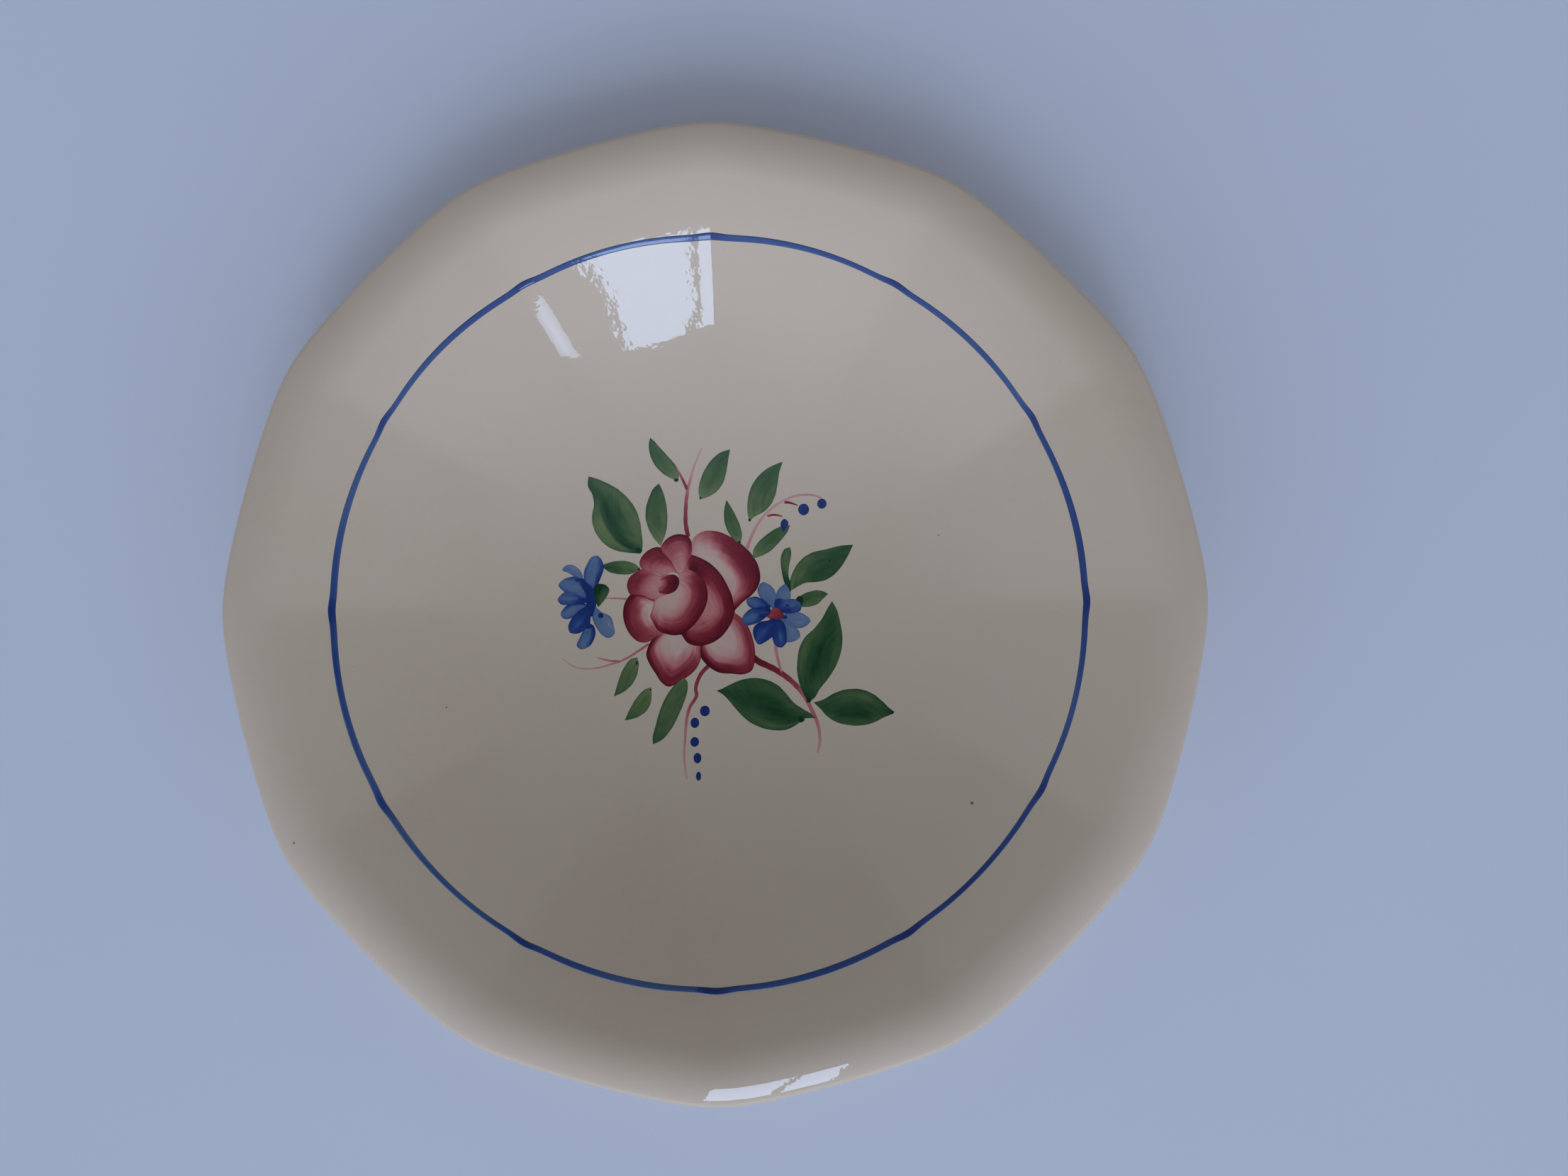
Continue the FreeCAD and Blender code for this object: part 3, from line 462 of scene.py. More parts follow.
ROSE = {
    "rose_bottom_left_petal": (0, sweep(
        [(-17, -6.6), (-18.4, -7.3), (-20.2, -7.5), (-21.7, -9.2), (-23.2, -12), (-23.6, -14.2),
         (-22.6, -17), (-20.6, -20.2), (-18.8, -22.9), (-16.8, -24.2), (-14.4, -23.5), (-12, -22),
         (-9.3, -20.1), (-7.2, -17.4), (-6.4, -14.6), (-6.6, -11.6), (-7.4, -9)],
        [(-16, -6.6), (-14, -7.2), (-11.5, -8.4), (-9, -8.6)],
        {0: [95, 100, 98, 95, 85, 80, 72, 60, 50],
         1: [70, 95, 92, 85, 85, 78, 72, 55, 35],
         2.4: [30, 60, 62, 64, 80, 76, 70, 45, 20],
         4.2: [12, 20, 25, 40, 66, 66, 55, 25, 10],
         7: [8, 8, 8, 14, 35, 36, 20, 10, 6],
         11: [5, 5, 5, 6, 8, 8, 6, 5, 5]})),
    "rose_bottom_right_petal": (0, sweep(
        [(3.4, -0.8), (5.4, -2.1), (8, -5), (9.7, -9), (10.5, -13), (10.4, -17), (9.2, -19.7), (7, -20.6),
         (3, -20.4), (-1, -20), (-3.5, -18.6), (-5.6, -16.6), (-7.1, -14), (-6.8, -11.8), (-5.6, -10.4)],
        [(2.6, -1.6), (1.6, -4.6), (-0.8, -7.4), (-4.6, -9.8)],
        {0: [55, 68, 72, 74, 78, 86, 95, 100, 100, 85],
         1: [50, 66, 70, 70, 74, 80, 92, 98, 100, 80],
         2.4: [40, 62, 72, 74, 74, 72, 74, 70, 70, 40],
         4.2: [30, 45, 56, 56, 50, 46, 36, 26, 20, 10],
         6.5: [18, 26, 36, 34, 30, 24, 16, 10, 8, 6],
         10: [6, 8, 10, 10, 10, 8, 8, 6, 6, 6]})),
    "rose_right_petal": (1, sweep(
        [(-9.2, 16.9), (-9.3, 20.4), (-8.3, 22.6), (-5.2, 24.5), (-1, 24.4), (3, 22.8), (7, 20),
         (10.2, 16.6), (12.1, 12.6), (12.4, 9.2), (11.4, 6.3), (9.5, 4.1), (7, 2.2), (4.1, -0.7)],
        [(-8.6, 16.4), (-6, 15.6), (-2.4, 13.4), (0.2, 10.4), (2.2, 6.6), (3.4, 3.4), (3.7, 0.9),
         (3.8, -0.9)],
        {0: [22, 34, 52, 70, 80, 88, 94, 97, 100, 98, 96, 100],
         1.1: [16, 28, 48, 70, 80, 86, 90, 94, 94, 88, 86, 100],
         2.6: [8, 16, 38, 64, 80, 84, 87, 88, 78, 68, 72, 100],
         4.6: [5, 8, 18, 40, 66, 77, 80, 77, 64, 50, 50, 100],
         6.6: [3, 5, 8, 14, 32, 50, 56, 50, 44, 32, 40, 100],
         9: [2, 3, 4, 4, 5, 7, 10, 12, 16, 20, 30, 100]})),
    "rose_lower_left_petal": (1, sweep(
        [(-20.6, 3), (-22.6, 3.6), (-25.4, 5), (-27.5, 5.4), (-29.3, 3.8), (-30.5, 1), (-30.7, -2),
         (-30, -5), (-28.4, -8), (-26, -10), (-23.6, -10.3), (-21, -9), (-18.4, -7.3)],
        [(-20, 2.4), (-21.2, 1.2), (-21.6, -1.4), (-21.2, -3.6), (-20, -5.4), (-18, -7)],
        {0: [70, 90, 100, 95, 92, 88, 84, 76, 68, 60, 50],
         1.1: [40, 66, 95, 86, 90, 84, 78, 72, 66, 58, 45],
         2.6: [10, 18, 55, 72, 74, 70, 68, 68, 64, 52, 40],
         4.6: [5, 6, 16, 50, 60, 58, 58, 62, 56, 44, 35],
         6.6: [3, 3, 5, 10, 20, 20, 28, 46, 44, 36, 30],
         9: [2, 2, 2, 3, 4, 5, 10, 20, 30, 30, 30]})),
    "rose_left_petal": (2, sweep(
        [(-17, 10.4), (-19, 10.7), (-21.6, 12), (-24.6, 12.8), (-27.2, 11.6), (-29, 9.5), (-29.4, 7),
         (-28.5, 4.9), (-25.2, 4.5), (-22, 3.2), (-19.6, 3.3), (-17.6, 4.4)],
        [(-16.6, 9.6), (-17.4, 8.4), (-17.8, 6.8), (-17.2, 5.2)],
        {0: [62, 66, 62, 64, 74, 78, 76, 72, 62, 50, 44, 42],
         1: [40, 40, 42, 60, 74, 76, 74, 66, 46, 36, 34, 36],
         3: [30, 28, 32, 50, 68, 74, 68, 54, 36, 30, 30, 34],
         5.2: [30, 24, 24, 34, 44, 50, 44, 36, 30, 28, 28, 34],
         8: [34, 24, 20, 24, 28, 30, 28, 26, 26, 26, 28, 34],
         12: [40, 36, 34, 34, 36, 38, 38, 36, 34, 34, 34, 36]})),
    "rose_upper_left_petal": (3, sweep(
        [(-12.6, 11.4), (-15.4, 15.6), (-17.8, 19.2), (-20, 19.7), (-22.5, 18.8), (-24.5, 17),
         (-25.5, 14.6), (-24.9, 13), (-22.8, 12.4), (-20.4, 11.6), (-17.8, 10.4)],
        [(-13.2, 10.8), (-14.6, 11.6), (-16.2, 11.4), (-17.4, 10.2)],
        {0: [30, 40, 86, 97, 90, 84, 78, 66, 55, 50, 60],
         1.2: [32, 36, 74, 92, 86, 82, 76, 60, 42, 36, 42],
         3.2: [36, 34, 52, 76, 82, 78, 72, 54, 36, 34, 42],
         5.4: [42, 36, 36, 48, 66, 66, 56, 42, 32, 34, 44],
         8: [50, 44, 34, 32, 36, 38, 34, 32, 32, 36, 46],
         11.5: [50, 50, 40, 34, 34, 34, 34, 34, 38, 42, 48]})),
    "rose_top_petal": (4, sweep(
        [(-13.8, 11.6), (-16.2, 16.2), (-18.8, 19.4), (-17.6, 21.5), (-15.6, 23), (-12.6, 23.7),
         (-10.1, 22.9), (-9, 20.9), (-9, 18), (-9.8, 15.4), (-10.4, 12.4)],
        [(-13, 11.4), (-12.6, 12.2), (-11.6, 12.4), (-10.8, 11.8)],
        {0: [40, 36, 30, 62, 82, 95, 100, 100, 62, 46, 40],
         1.2: [30, 24, 30, 54, 74, 82, 84, 90, 56, 46, 36],
         2.4: [24, 20, 34, 52, 60, 60, 62, 68, 58, 48, 34],
         5: [20, 18, 30, 42, 48, 46, 48, 54, 52, 44, 30],
         9: [20, 18, 20, 26, 30, 28, 30, 36, 38, 34, 28],
         13: [22, 20, 20, 22, 24, 24, 24, 26, 26, 26, 26]})),
    "rose_outer_swirl": (5, sweep(
        [(-10.9, 13.4), (-10.6, 15.6), (-9.6, 17.1), (-6, 16.2), (-2.5, 13.8), (0, 11), (2, 7.5),
         (3.5, 4), (4.1, 1), (4.2, -2.3), (2.6, -5.9), (0, -9.1), (-3.7, -11.2), (-7.3, -11.8),
         (-10.8, -10.7), (-12.9, -7.5)],
        [(-10.4, 12.6), (-9.4, 11.6), (-7.2, 10.2), (-5.2, 7.6), (-4.6, 4.2), (-5.2, 1), (-6.8, -2.2),
         (-9, -5), (-12, -7)],
        {0: [50, 90, 97, 92, 94, 95, 95, 96, 96, 96, 96, 97, 100],
         1.2: [55, 88, 92, 86, 86, 88, 90, 90, 92, 92, 92, 95, 100],
         2.8: [80, 95, 86, 80, 78, 80, 84, 86, 84, 82, 80, 80, 100],
         4.4: [95, 100, 92, 72, 60, 56, 52, 50, 60, 66, 66, 60, 90],
         6.2: [100, 100, 95, 66, 46, 38, 34, 32, 40, 50, 50, 50, 90],
         8.4: [100, 100, 90, 60, 42, 34, 32, 32, 36, 42, 46, 50, 90]})),
    "rose_inner_swirl": (6, sweep(
        [(-13.2, 11.4), (-11.2, 12.9), (-8.5, 12.3), (-6, 10.2), (-4.3, 7), (-3.9, 4), (-4.6, 1),
         (-6.2, -2), (-8.2, -4.7), (-11, -7.4), (-14.2, -8.4), (-17.2, -8), (-20, -6.7), (-21.5, -4.2),
         (-22.4, -2), (-21.8, -0.3), (-21, 2.8)],
        [(-13.6, 10.4), (-13.2, 9), (-13.5, 7.4), (-14.6, 5.8), (-16.2, 5.2), (-18, 4.8), (-19.6, 3.8),
         (-20.6, 3)],
        {0: [25, 50, 86, 94, 96, 95, 95, 97, 100, 100, 98, 75, 35],
         1.1: [24, 44, 78, 90, 92, 90, 90, 93, 96, 96, 82, 45, 24],
         2.6: [20, 34, 70, 84, 84, 82, 78, 74, 72, 68, 46, 26, 18],
         4.6: [16, 24, 46, 66, 62, 58, 58, 60, 58, 46, 26, 18, 15],
         6.8: [14, 16, 24, 32, 30, 28, 28, 30, 28, 20, 15, 14, 14],
         9.6: [13, 13, 13, 14, 13, 12, 12, 12, 12, 12, 13, 13, 14]})),
    "rose_bud": (7, sweep(
        [(-18.4, 4.6), (-16.4, 4.8), (-14.4, 5.8), (-13.2, 7.5), (-13.1, 9.4), (-14.2, 10.8), (-16.2, 11),
         (-18, 10.6)],
        [(-19.6, 5), (-20, 6.6), (-19.8, 8.4), (-18.8, 10)],
        {0: [40, 88, 100, 100, 94, 40],
         1.6: [38, 86, 97, 98, 90, 38],
         3: [34, 72, 88, 90, 72, 36],
         4.8: [28, 42, 56, 56, 42, 30],
         6.4: [22, 24, 28, 28, 24, 22]})),
}

# Washes of the leaves: across from the left edge, and along from the base to the tip
PLAIN_LEAF = {0: [45, 62, 70, 76], 0.12: [38, 55, 66, 74], 0.5: [36, 60, 70, 76], 0.85: [36, 52, 60, 72],
              1: [45, 58, 62, 74]}
PALE_LEAF = {0: [50, 52, 58, 66], 0.15: [40, 46, 52, 60], 0.5: [36, 50, 56, 62], 0.85: [36, 48, 56, 62],
             1: [42, 54, 60, 66]}
DEEP_DOT = spot(90, 100)

LEAVES = {
    "leaf_upper_left": [
        leaf((-25, 17.6),
            [(-29, 17.9), (-33, 18.7), (-36, 20.5), (-38.2, 23.2), (-39.5, 26.5), (-39.6, 29.5),
             (-38.9, 33), (-39.3, 35.8), (-40.5, 38.4)], (-40.2, 41.4),
            [(-24.4, 19.6), (-24.5, 24), (-25, 28), (-26.2, 31.6), (-28.2, 34.6), (-31.4, 37.6),
             (-35, 39.6), (-37.6, 40.7)],
            {0: [90, 66, 56, 52, 60, 80, 84], 0.06: [90, 60, 46, 42, 55, 78, 82],
             0.22: [95, 52, 40, 40, 60, 80, 82], 0.3: [98, 92, 84, 80, 80, 78, 80],
             0.42: [95, 84, 90, 93, 88, 74, 78], 0.6: [85, 62, 66, 78, 72, 60, 72],
             0.85: [70, 50, 50, 52, 54, 60, 70], 1: [75, 55, 52, 55, 62, 70, 75]}),
        dab(-25.7, 18.8, 1.3, 1.1, DEEP_DOT),
    ],
    "leaves_top": [
        leaf((-18.8, 20),
            [(-20.6, 22), (-22.4, 25.2), (-23.3, 28.6), (-23.1, 31.8), (-22, 35.2), (-20.6, 37.8)],
            (-18.8, 39.4), [(-17.3, 23.2), (-16.5, 26.8), (-16.4, 30.4), (-16.9, 34.4), (-17.9, 37.6)],
            PLAIN_LEAF),
        leaf((-13, 40.1), [(-15.8, 41.2), (-18.3, 43), (-20.3, 45.5), (-21.4, 48.6), (-21.5, 51.2)],
            (-21, 53.2), [(-12.4, 41.8), (-13, 44.2), (-15.4, 47.3), (-18.2, 50.4), (-20.2, 52.6)],
            PLAIN_LEAF),
        leaf((-6.1, 34.3), [(-6.6, 37), (-6, 40), (-4.4, 43.6), (-2.2, 46.5), (0.6, 48.6)], (3.7, 49.5),
            [(-3, 35.3), (-0.5, 37), (1.3, 39.4), (2.3, 42.4), (3, 46.2)], PLAIN_LEAF),
        dab(-13.4, 40.5, 0.85, 0.75, DEEP_DOT),
        dab(-5.9, 34.9, 0.5, 0.6, DEEP_DOT),
    ],
    "leaves_upper_right": [
        leaf((9.2, 27.1), [(8.6, 30.6), (8.8, 34), (9.6, 37.2), (11.2, 40), (13.8, 42.6), (17, 44.4)],
            (20, 45.4),
            [(10.6, 28.5), (13.2, 29.8), (15.8, 31.9), (17.4, 34.7), (18.3, 38.4), (18.9, 42)],
            PLAIN_LEAF),
        leaf((6.1, 20.2), [(4.2, 21.6), (2.7, 23.6), (1.5, 26.5), (1.2, 29.6), (1.6, 32.4)], (2.2, 34.1),
            [(6.9, 22.6), (6.4, 25.8), (5.2, 28.9), (3.4, 32.2)], PLAIN_LEAF),
        leaf((10.2, 15.6), [(10.3, 18.3), (11.9, 20.8), (14.4, 23), (17, 24.7), (19.6, 25.7)], (22, 25.9),
            [(13, 16.5), (15.6, 17.8), (18, 20), (19.9, 22.1), (21.2, 23.8)], PLAIN_LEAF),
        dab(9.35, 27.8, 0.5, 0.6, DEEP_DOT),
        dab(5.9, 21, 0.65, 0.6, DEEP_DOT),
        dab(10, 16.3, 0.6, 0.5, spot(60, 80)),
    ],
    "leaf_left": [
        leaf((-25.2, 13.1), [(-26.6, 14.3), (-29.6, 15.4), (-32.6, 15.4), (-35.4, 14.7)], (-37.2, 13.9),
            [(-26.4, 12.1), (-28.7, 11.1), (-31.6, 11.1), (-34.4, 11.7), (-36.2, 12.9)],
            {0: [50, 50, 60, 72], 0.3: [36, 50, 70, 80], 0.6: [50, 60, 78, 84], 1: [80, 56, 66, 76]}),
        dab(-25.8, 12.8, 0.7, 0.5, DEEP_DOT),
    ],
    "leaves_right": [
        leaf((21.2, 5.2), [(19.9, 8), (19.2, 11), (18.8, 14.6), (19.1, 16.8), (20, 18.4)], (21.9, 19.1),
            [(22.2, 7), (21.4, 9.8), (21.5, 12.6), (22.2, 16), (22.3, 17.8)],
            {0: [100, 95, 78, 70, 66], 0.35: [100, 90, 62, 58, 60], 1: [100, 85, 50, 55, 62]}),
        leaf((21.6, 5.2), [(21.9, 9.2), (23.4, 12.7), (26, 15.7), (29, 17.3), (33, 18.1), (37.6, 19.1)],
            (41.6, 19.3),
            [(23.6, 6.3), (26.5, 7.7), (30, 7.9), (33, 8.5), (35.6, 10.1), (38.1, 12.9), (40.1, 16.2)],
            {0: [80, 70, 66, 68, 74, 80], 0.12: [60, 52, 55, 66, 78, 80], 0.4: [50, 50, 72, 80, 82, 80],
             0.7: [55, 66, 84, 84, 80, 76], 1: [60, 68, 76, 78, 76, 76]}),
        leaf((23.2, 2.2), [(25, 3.8), (27.6, 5), (30.2, 5.4), (32.2, 5)], (33.6, 4.2),
            [(25, 0.4), (27.6, 0.2), (30.2, 1), (32.2, 2.8)],
            {0: [90, 66, 60, 66], 0.4: [90, 66, 64, 68], 1: [80, 50, 55, 66]}),
        dab(34.3, 14.6, 0.8, 0.7, spot(82, 92)),
        dab(21.4, 6.2, 0.8, 1.5, DEEP_DOT),
        dab(24.8, 2.2, 1.4, 1.5, DEEP_DOT),
    ],
    "leaf_lower_right": [
        leaf((27, -29.4),
            [(25.6, -27.4), (24.4, -24.2), (23.6, -20.6), (23.6, -16.8), (24.3, -12.8), (26.2, -9.2),
             (29.4, -6.2), (31.6, -3.4), (33.4, -0.2)], (34.8, 2),
            [(28.8, -28.2), (30.6, -25.4), (33.4, -22), (35.8, -18.2), (37.4, -13.8), (37.9, -9),
             (37.2, -4.4), (36.1, -0.4)],
            {0: [95, 80, 68, 66, 70, 76, 72], 0.12: [95, 78, 60, 56, 62, 74, 70],
             0.32: [95, 82, 82, 82, 72, 76, 70], 0.5: [95, 80, 94, 95, 82, 80, 68],
             0.68: [90, 76, 84, 86, 84, 80, 66], 0.88: [80, 72, 72, 70, 74, 70, 64],
             1: [80, 70, 66, 66, 70, 70, 64]}),
        dab(27, -28.8, 0.95, 0.9, DEEP_DOT),
    ],
    "leaf_bottom": [
        leaf((29.6, -34.4),
            [(27.2, -34.3), (25.6, -34.5), (23.4, -36.2), (20.4, -37.7), (16, -38), (12, -37.1), (8, -35),
             (5, -32.1), (2.4, -29), (0.4, -26.9)], (-1.8, -25.6),
            [(28.4, -33.3), (25.6, -31.6), (22.4, -29.4), (20.2, -26.7), (17.5, -24), (14, -22.3),
             (10, -21.7), (6, -22.3), (2.4, -23.8), (0, -25)],
            {0: [72, 70, 68, 70, 76, 80], 0.12: [70, 66, 62, 66, 74, 82], 0.22: [74, 86, 84, 76, 78, 84],
             0.4: [72, 88, 95, 90, 84, 86], 0.6: [70, 78, 88, 90, 84, 84], 0.82: [68, 70, 72, 74, 76, 80],
             1: [70, 72, 70, 70, 74, 80]}),
        dab(24.5, -34.5, 1.3, 1.1, DEEP_DOT),
    ],
    "leaf_bottom_right": [
        leaf((28.5, -29.5),
            [(31.5, -28.6), (35, -26.6), (39, -25.4), (43, -25.4), (46.6, -26.7), (49.6, -29.1),
             (51.8, -31.3)], (53.2, -32.3),
            [(30.2, -31), (32.6, -33.7), (35.6, -35.6), (39.5, -36.5), (43.5, -36.5), (47.4, -35.4),
             (50.2, -33.9), (52, -33.2)],
            {0: [72, 72, 68, 68, 74, 84], 0.2: [72, 70, 62, 60, 72, 86], 0.5: [74, 80, 84, 86, 78, 86],
             0.72: [74, 82, 92, 92, 80, 84], 0.88: [72, 72, 74, 74, 70, 80],
             1: [72, 70, 64, 64, 68, 80]}),
        dab(52.2, -32.5, 0.8, 0.6, DEEP_DOT),
    ],
    "leaves_lower_left": [
        leaf((-26.4, -14.8), [(-28.2, -15.2), (-30, -17.2), (-31.5, -20.2), (-32.6, -23.8)],
            (-33.4, -26.9),
            [(-25.8, -16.4), (-25.9, -18.6), (-26.6, -21.2), (-28.2, -23.8), (-30.8, -25.8)], PALE_LEAF),
        leaf((-22, -24.2), [(-23.9, -24.8), (-26.2, -27), (-28.1, -30), (-29.3, -32.6)], (-30, -34.3),
            [(-21.8, -25.8), (-21.9, -28.4), (-22.9, -31), (-25.2, -33), (-28, -34)], PALE_LEAF),
        leaf((-12.2, -21), [(-15, -23.8), (-17.6, -27.5), (-19.3, -31.5), (-20.6, -36.2), (-21.4, -39.8)],
            (-21.2, -41.8),
            [(-10.7, -22.8), (-10.7, -25.4), (-11.8, -29.2), (-13.5, -33.2), (-15.6, -37.2),
             (-18.4, -40.4)],
            {0: [60, 60, 62, 66, 70], 0.2: [52, 52, 54, 60, 66], 0.5: [50, 55, 58, 60, 64],
             1: [55, 58, 60, 62, 68]}),
        dab(-26.5, -16.6, 0.55, 0.8, DEEP_DOT),
        dab(-22.3, -25, 0.5, 0.5, DEEP_DOT),
    ],
}

# Washes of the blue petals: along from the heart of the flower to the petal's end
LIGHT_PETAL = {0: [60, 50, 44, 44], 0.2: [54, 42, 36, 38], 0.5: [50, 35, 34, 37], 0.8: [46, 34, 30, 32],
               1: [50, 40, 36, 38]}
MIDDLE_PETAL = {0: [92, 84, 68, 58], 0.25: [92, 80, 60, 52], 0.5: [90, 62, 48, 50],
                0.75: [90, 74, 56, 52], 1: [92, 80, 66, 58]}
DARK_PETAL = {0: [92, 90, 82, 74], 0.25: [92, 86, 78, 72], 0.5: [90, 78, 58, 66], 0.75: [92, 84, 74, 72],
              1: [92, 90, 82, 76]}
EDGED_PETAL = {0: [66, 60, 56, 50], 0.3: [66, 46, 40, 42], 0.6: [74, 46, 40, 42], 0.82: [86, 82, 66, 54],
               1: [90, 90, 78, 60]}

FLOWERS = {
    "left_flower_petals": [
        petal((-39.4, 1.6),
            [(-39.9, -1.8), (-38.4, -5.6), (-36.6, -7.9), (-34.8, -8.7), (-33.5, -7.7), (-33.8, -5),
             (-34.9, -2), (-37.4, -0.6)], LIGHT_PETAL),
        petal((-41.2, -3.8),
            [(-42.4, -6), (-43.6, -8.6), (-44.4, -11.2), (-43.3, -12.1), (-41.3, -11.4), (-39.8, -9.2),
             (-39.3, -6.4), (-39.8, -4.8)], EDGED_PETAL),
        petal((-39.6, 5.2),
            [(-41.8, 8.3), (-42.2, 11.2), (-41.2, 14.4), (-39.6, 16.8), (-38.4, 17), (-37, 15.2),
             (-36.7, 13.2), (-37.5, 10.4), (-38.5, 7.8)], EDGED_PETAL),
        petal((-42.6, 9),
            [(-45.2, 10.6), (-46.9, 11.7), (-48.8, 12.7), (-47.6, 14), (-45.8, 14), (-44.1, 12.8),
             (-42.9, 11)], LIGHT_PETAL),
        petal((-40.4, 2.6),
            [(-43.6, 2.1), (-47.2, 1.9), (-49.5, 2.2), (-50.3, 3.4), (-49.2, 4.9), (-47, 5.9),
             (-43.8, 5.2)], MIDDLE_PETAL),
        petal((-40.4, 3.6),
            [(-43, 3.8), (-45.6, 5), (-48.6, 6.4), (-49.9, 8), (-49, 9.3), (-46.8, 10.2), (-44.4, 10.2),
             (-42.6, 8.6), (-41.2, 6.4)], EDGED_PETAL),
        petal((-40.2, 1),
            [(-43.6, 0), (-46, -2), (-48.6, -2.4), (-49.5, -1.2), (-48.6, 0.4), (-47, 1.8), (-44, 2.5)],
            EDGED_PETAL),
        petal((-39.6, 1.8),
            [(-40.6, -1.8), (-41.2, -4.6), (-42.6, -6), (-44.6, -7.1), (-46.7, -6.9), (-47.1, -5.2),
             (-46.2, -3), (-44.4, -0.6), (-42, 1.6)], DARK_PETAL),
        petal((-39.4, 6.6),
            [(-40.8, 8), (-42.4, 9), (-43.4, 8.6), (-42, 5.4), (-41.8, 2.4), (-41.6, -0.6), (-40.4, -1.6),
             (-39.4, 0.6), (-39, 3.4)],
            {0: [82, 90, 95, 92], 0.5: [88, 95, 97, 92], 1: [85, 92, 95, 90]}),
        dab(-41.2, -5.1, 1.3, 0.8, spot(84, 93)),
        dab(-43.9, 9.4, 1.5, 0.8, spot(80, 88)),
        dab(-42.9, 3.3, 1.6, 0.7, spot(80, 88)),
        dab(-37.5, -1.7, 1, 0.95, spot(84, 93)),
    ],
    "right_flower_petals": [
        petal((16.6, -0.4),
            [(13.9, 2.2), (12.1, 4.2), (11.8, 6.6), (13, 8.2), (15, 7.4), (16.5, 5.8), (17.1, 3.6)],
            LIGHT_PETAL),
        petal((17.2, 0), [(17.3, 3.6), (18.6, 6.2), (20.4, 7.4), (21.6, 5.4), (21.6, 3.2), (19.8, 1.4)],
            LIGHT_PETAL),
        petal((17.8, -2.6),
            [(19.8, -5.2), (20, -8.4), (20.4, -10.4), (23, -10.4), (24.5, -9.2), (24, -7.2),
             (21.8, -5.6)], LIGHT_PETAL),
        petal((18.2, -2.6),
            [(20.2, -4.6), (22.6, -5.9), (25.4, -6.1), (28, -4.1), (26.4, -2.5), (24, -1.6), (21, -1.7)],
            LIGHT_PETAL),
        petal((15.8, -1), [(14.4, 1.6), (12.4, 3), (10.2, 3.6), (7.9, 2.6), (8.6, 1), (10.4, 0), (13, 0)],
            MIDDLE_PETAL),
        petal((15.8, -1.2),
            [(13.2, 0.3), (10.2, 0), (8, -1.2), (6.5, -3.6), (7.2, -4.9), (10.2, -4.7), (13, -3.4)],
            MIDDLE_PETAL),
        petal((17.4, -1),
            [(19.6, -1.5), (22.6, -1.6), (24.8, -0.4), (25, 1.4), (23.6, 2.5), (20.4, 2.6), (17.6, 2.9),
             (16.7, 1.6)], MIDDLE_PETAL),
        petal((16.6, -2.4),
            [(15, -3.8), (12.4, -4.4), (10.4, -6.2), (10.2, -8.8), (11.7, -11.3), (13.6, -10.4),
             (15.4, -9), (16.9, -7.2)], DARK_PETAL),
        petal((17, -2.6),
            [(16, -5.6), (16.2, -9.2), (17.2, -11.8), (18.8, -12.4), (20.2, -11), (20.6, -8.4),
             (19.8, -5)], DARK_PETAL),
        dab(18.1, 1.6, 1, 1.3, spot(80, 90)),
        dab(14.4, 0.4, 1.1, 0.8, spot(78, 88)),
        dab(20.8, 0.8, 1, 0.7, spot(78, 88)),
        dab(12.8, -2.4, 1.2, 0.9, spot(80, 90)),
        dab(20, -2.9, 1, 0.8, spot(80, 90)),
    ],
}

CALYX = [
    petal((-38.2, 0.9),
        [(-39.4, 3.4), (-40, 5.6), (-39.5, 7.5), (-38, 8.2), (-36, 7.9), (-34.8, 6.6), (-35.3, 4.8),
         (-36.6, 2.8)],
        {0: [80, 92, 100, 100], 0.4: [74, 86, 100, 100], 0.65: [70, 66, 80, 98], 1: [72, 66, 66, 80]}),
]
HEART = [
    petal((14.1, -2.7),
        [(15.4, -1.3), (16, 0), (17.2, 0.4), (18.4, -0.2), (18.8, -1.4), (20, -2.4), (18.8, -3.5),
         (16.4, -3.7)], {0: [62, 60, 58, 60, 66], 0.5: [66, 62, 66, 70, 72], 1: [70, 74, 76, 76, 70]}),
]

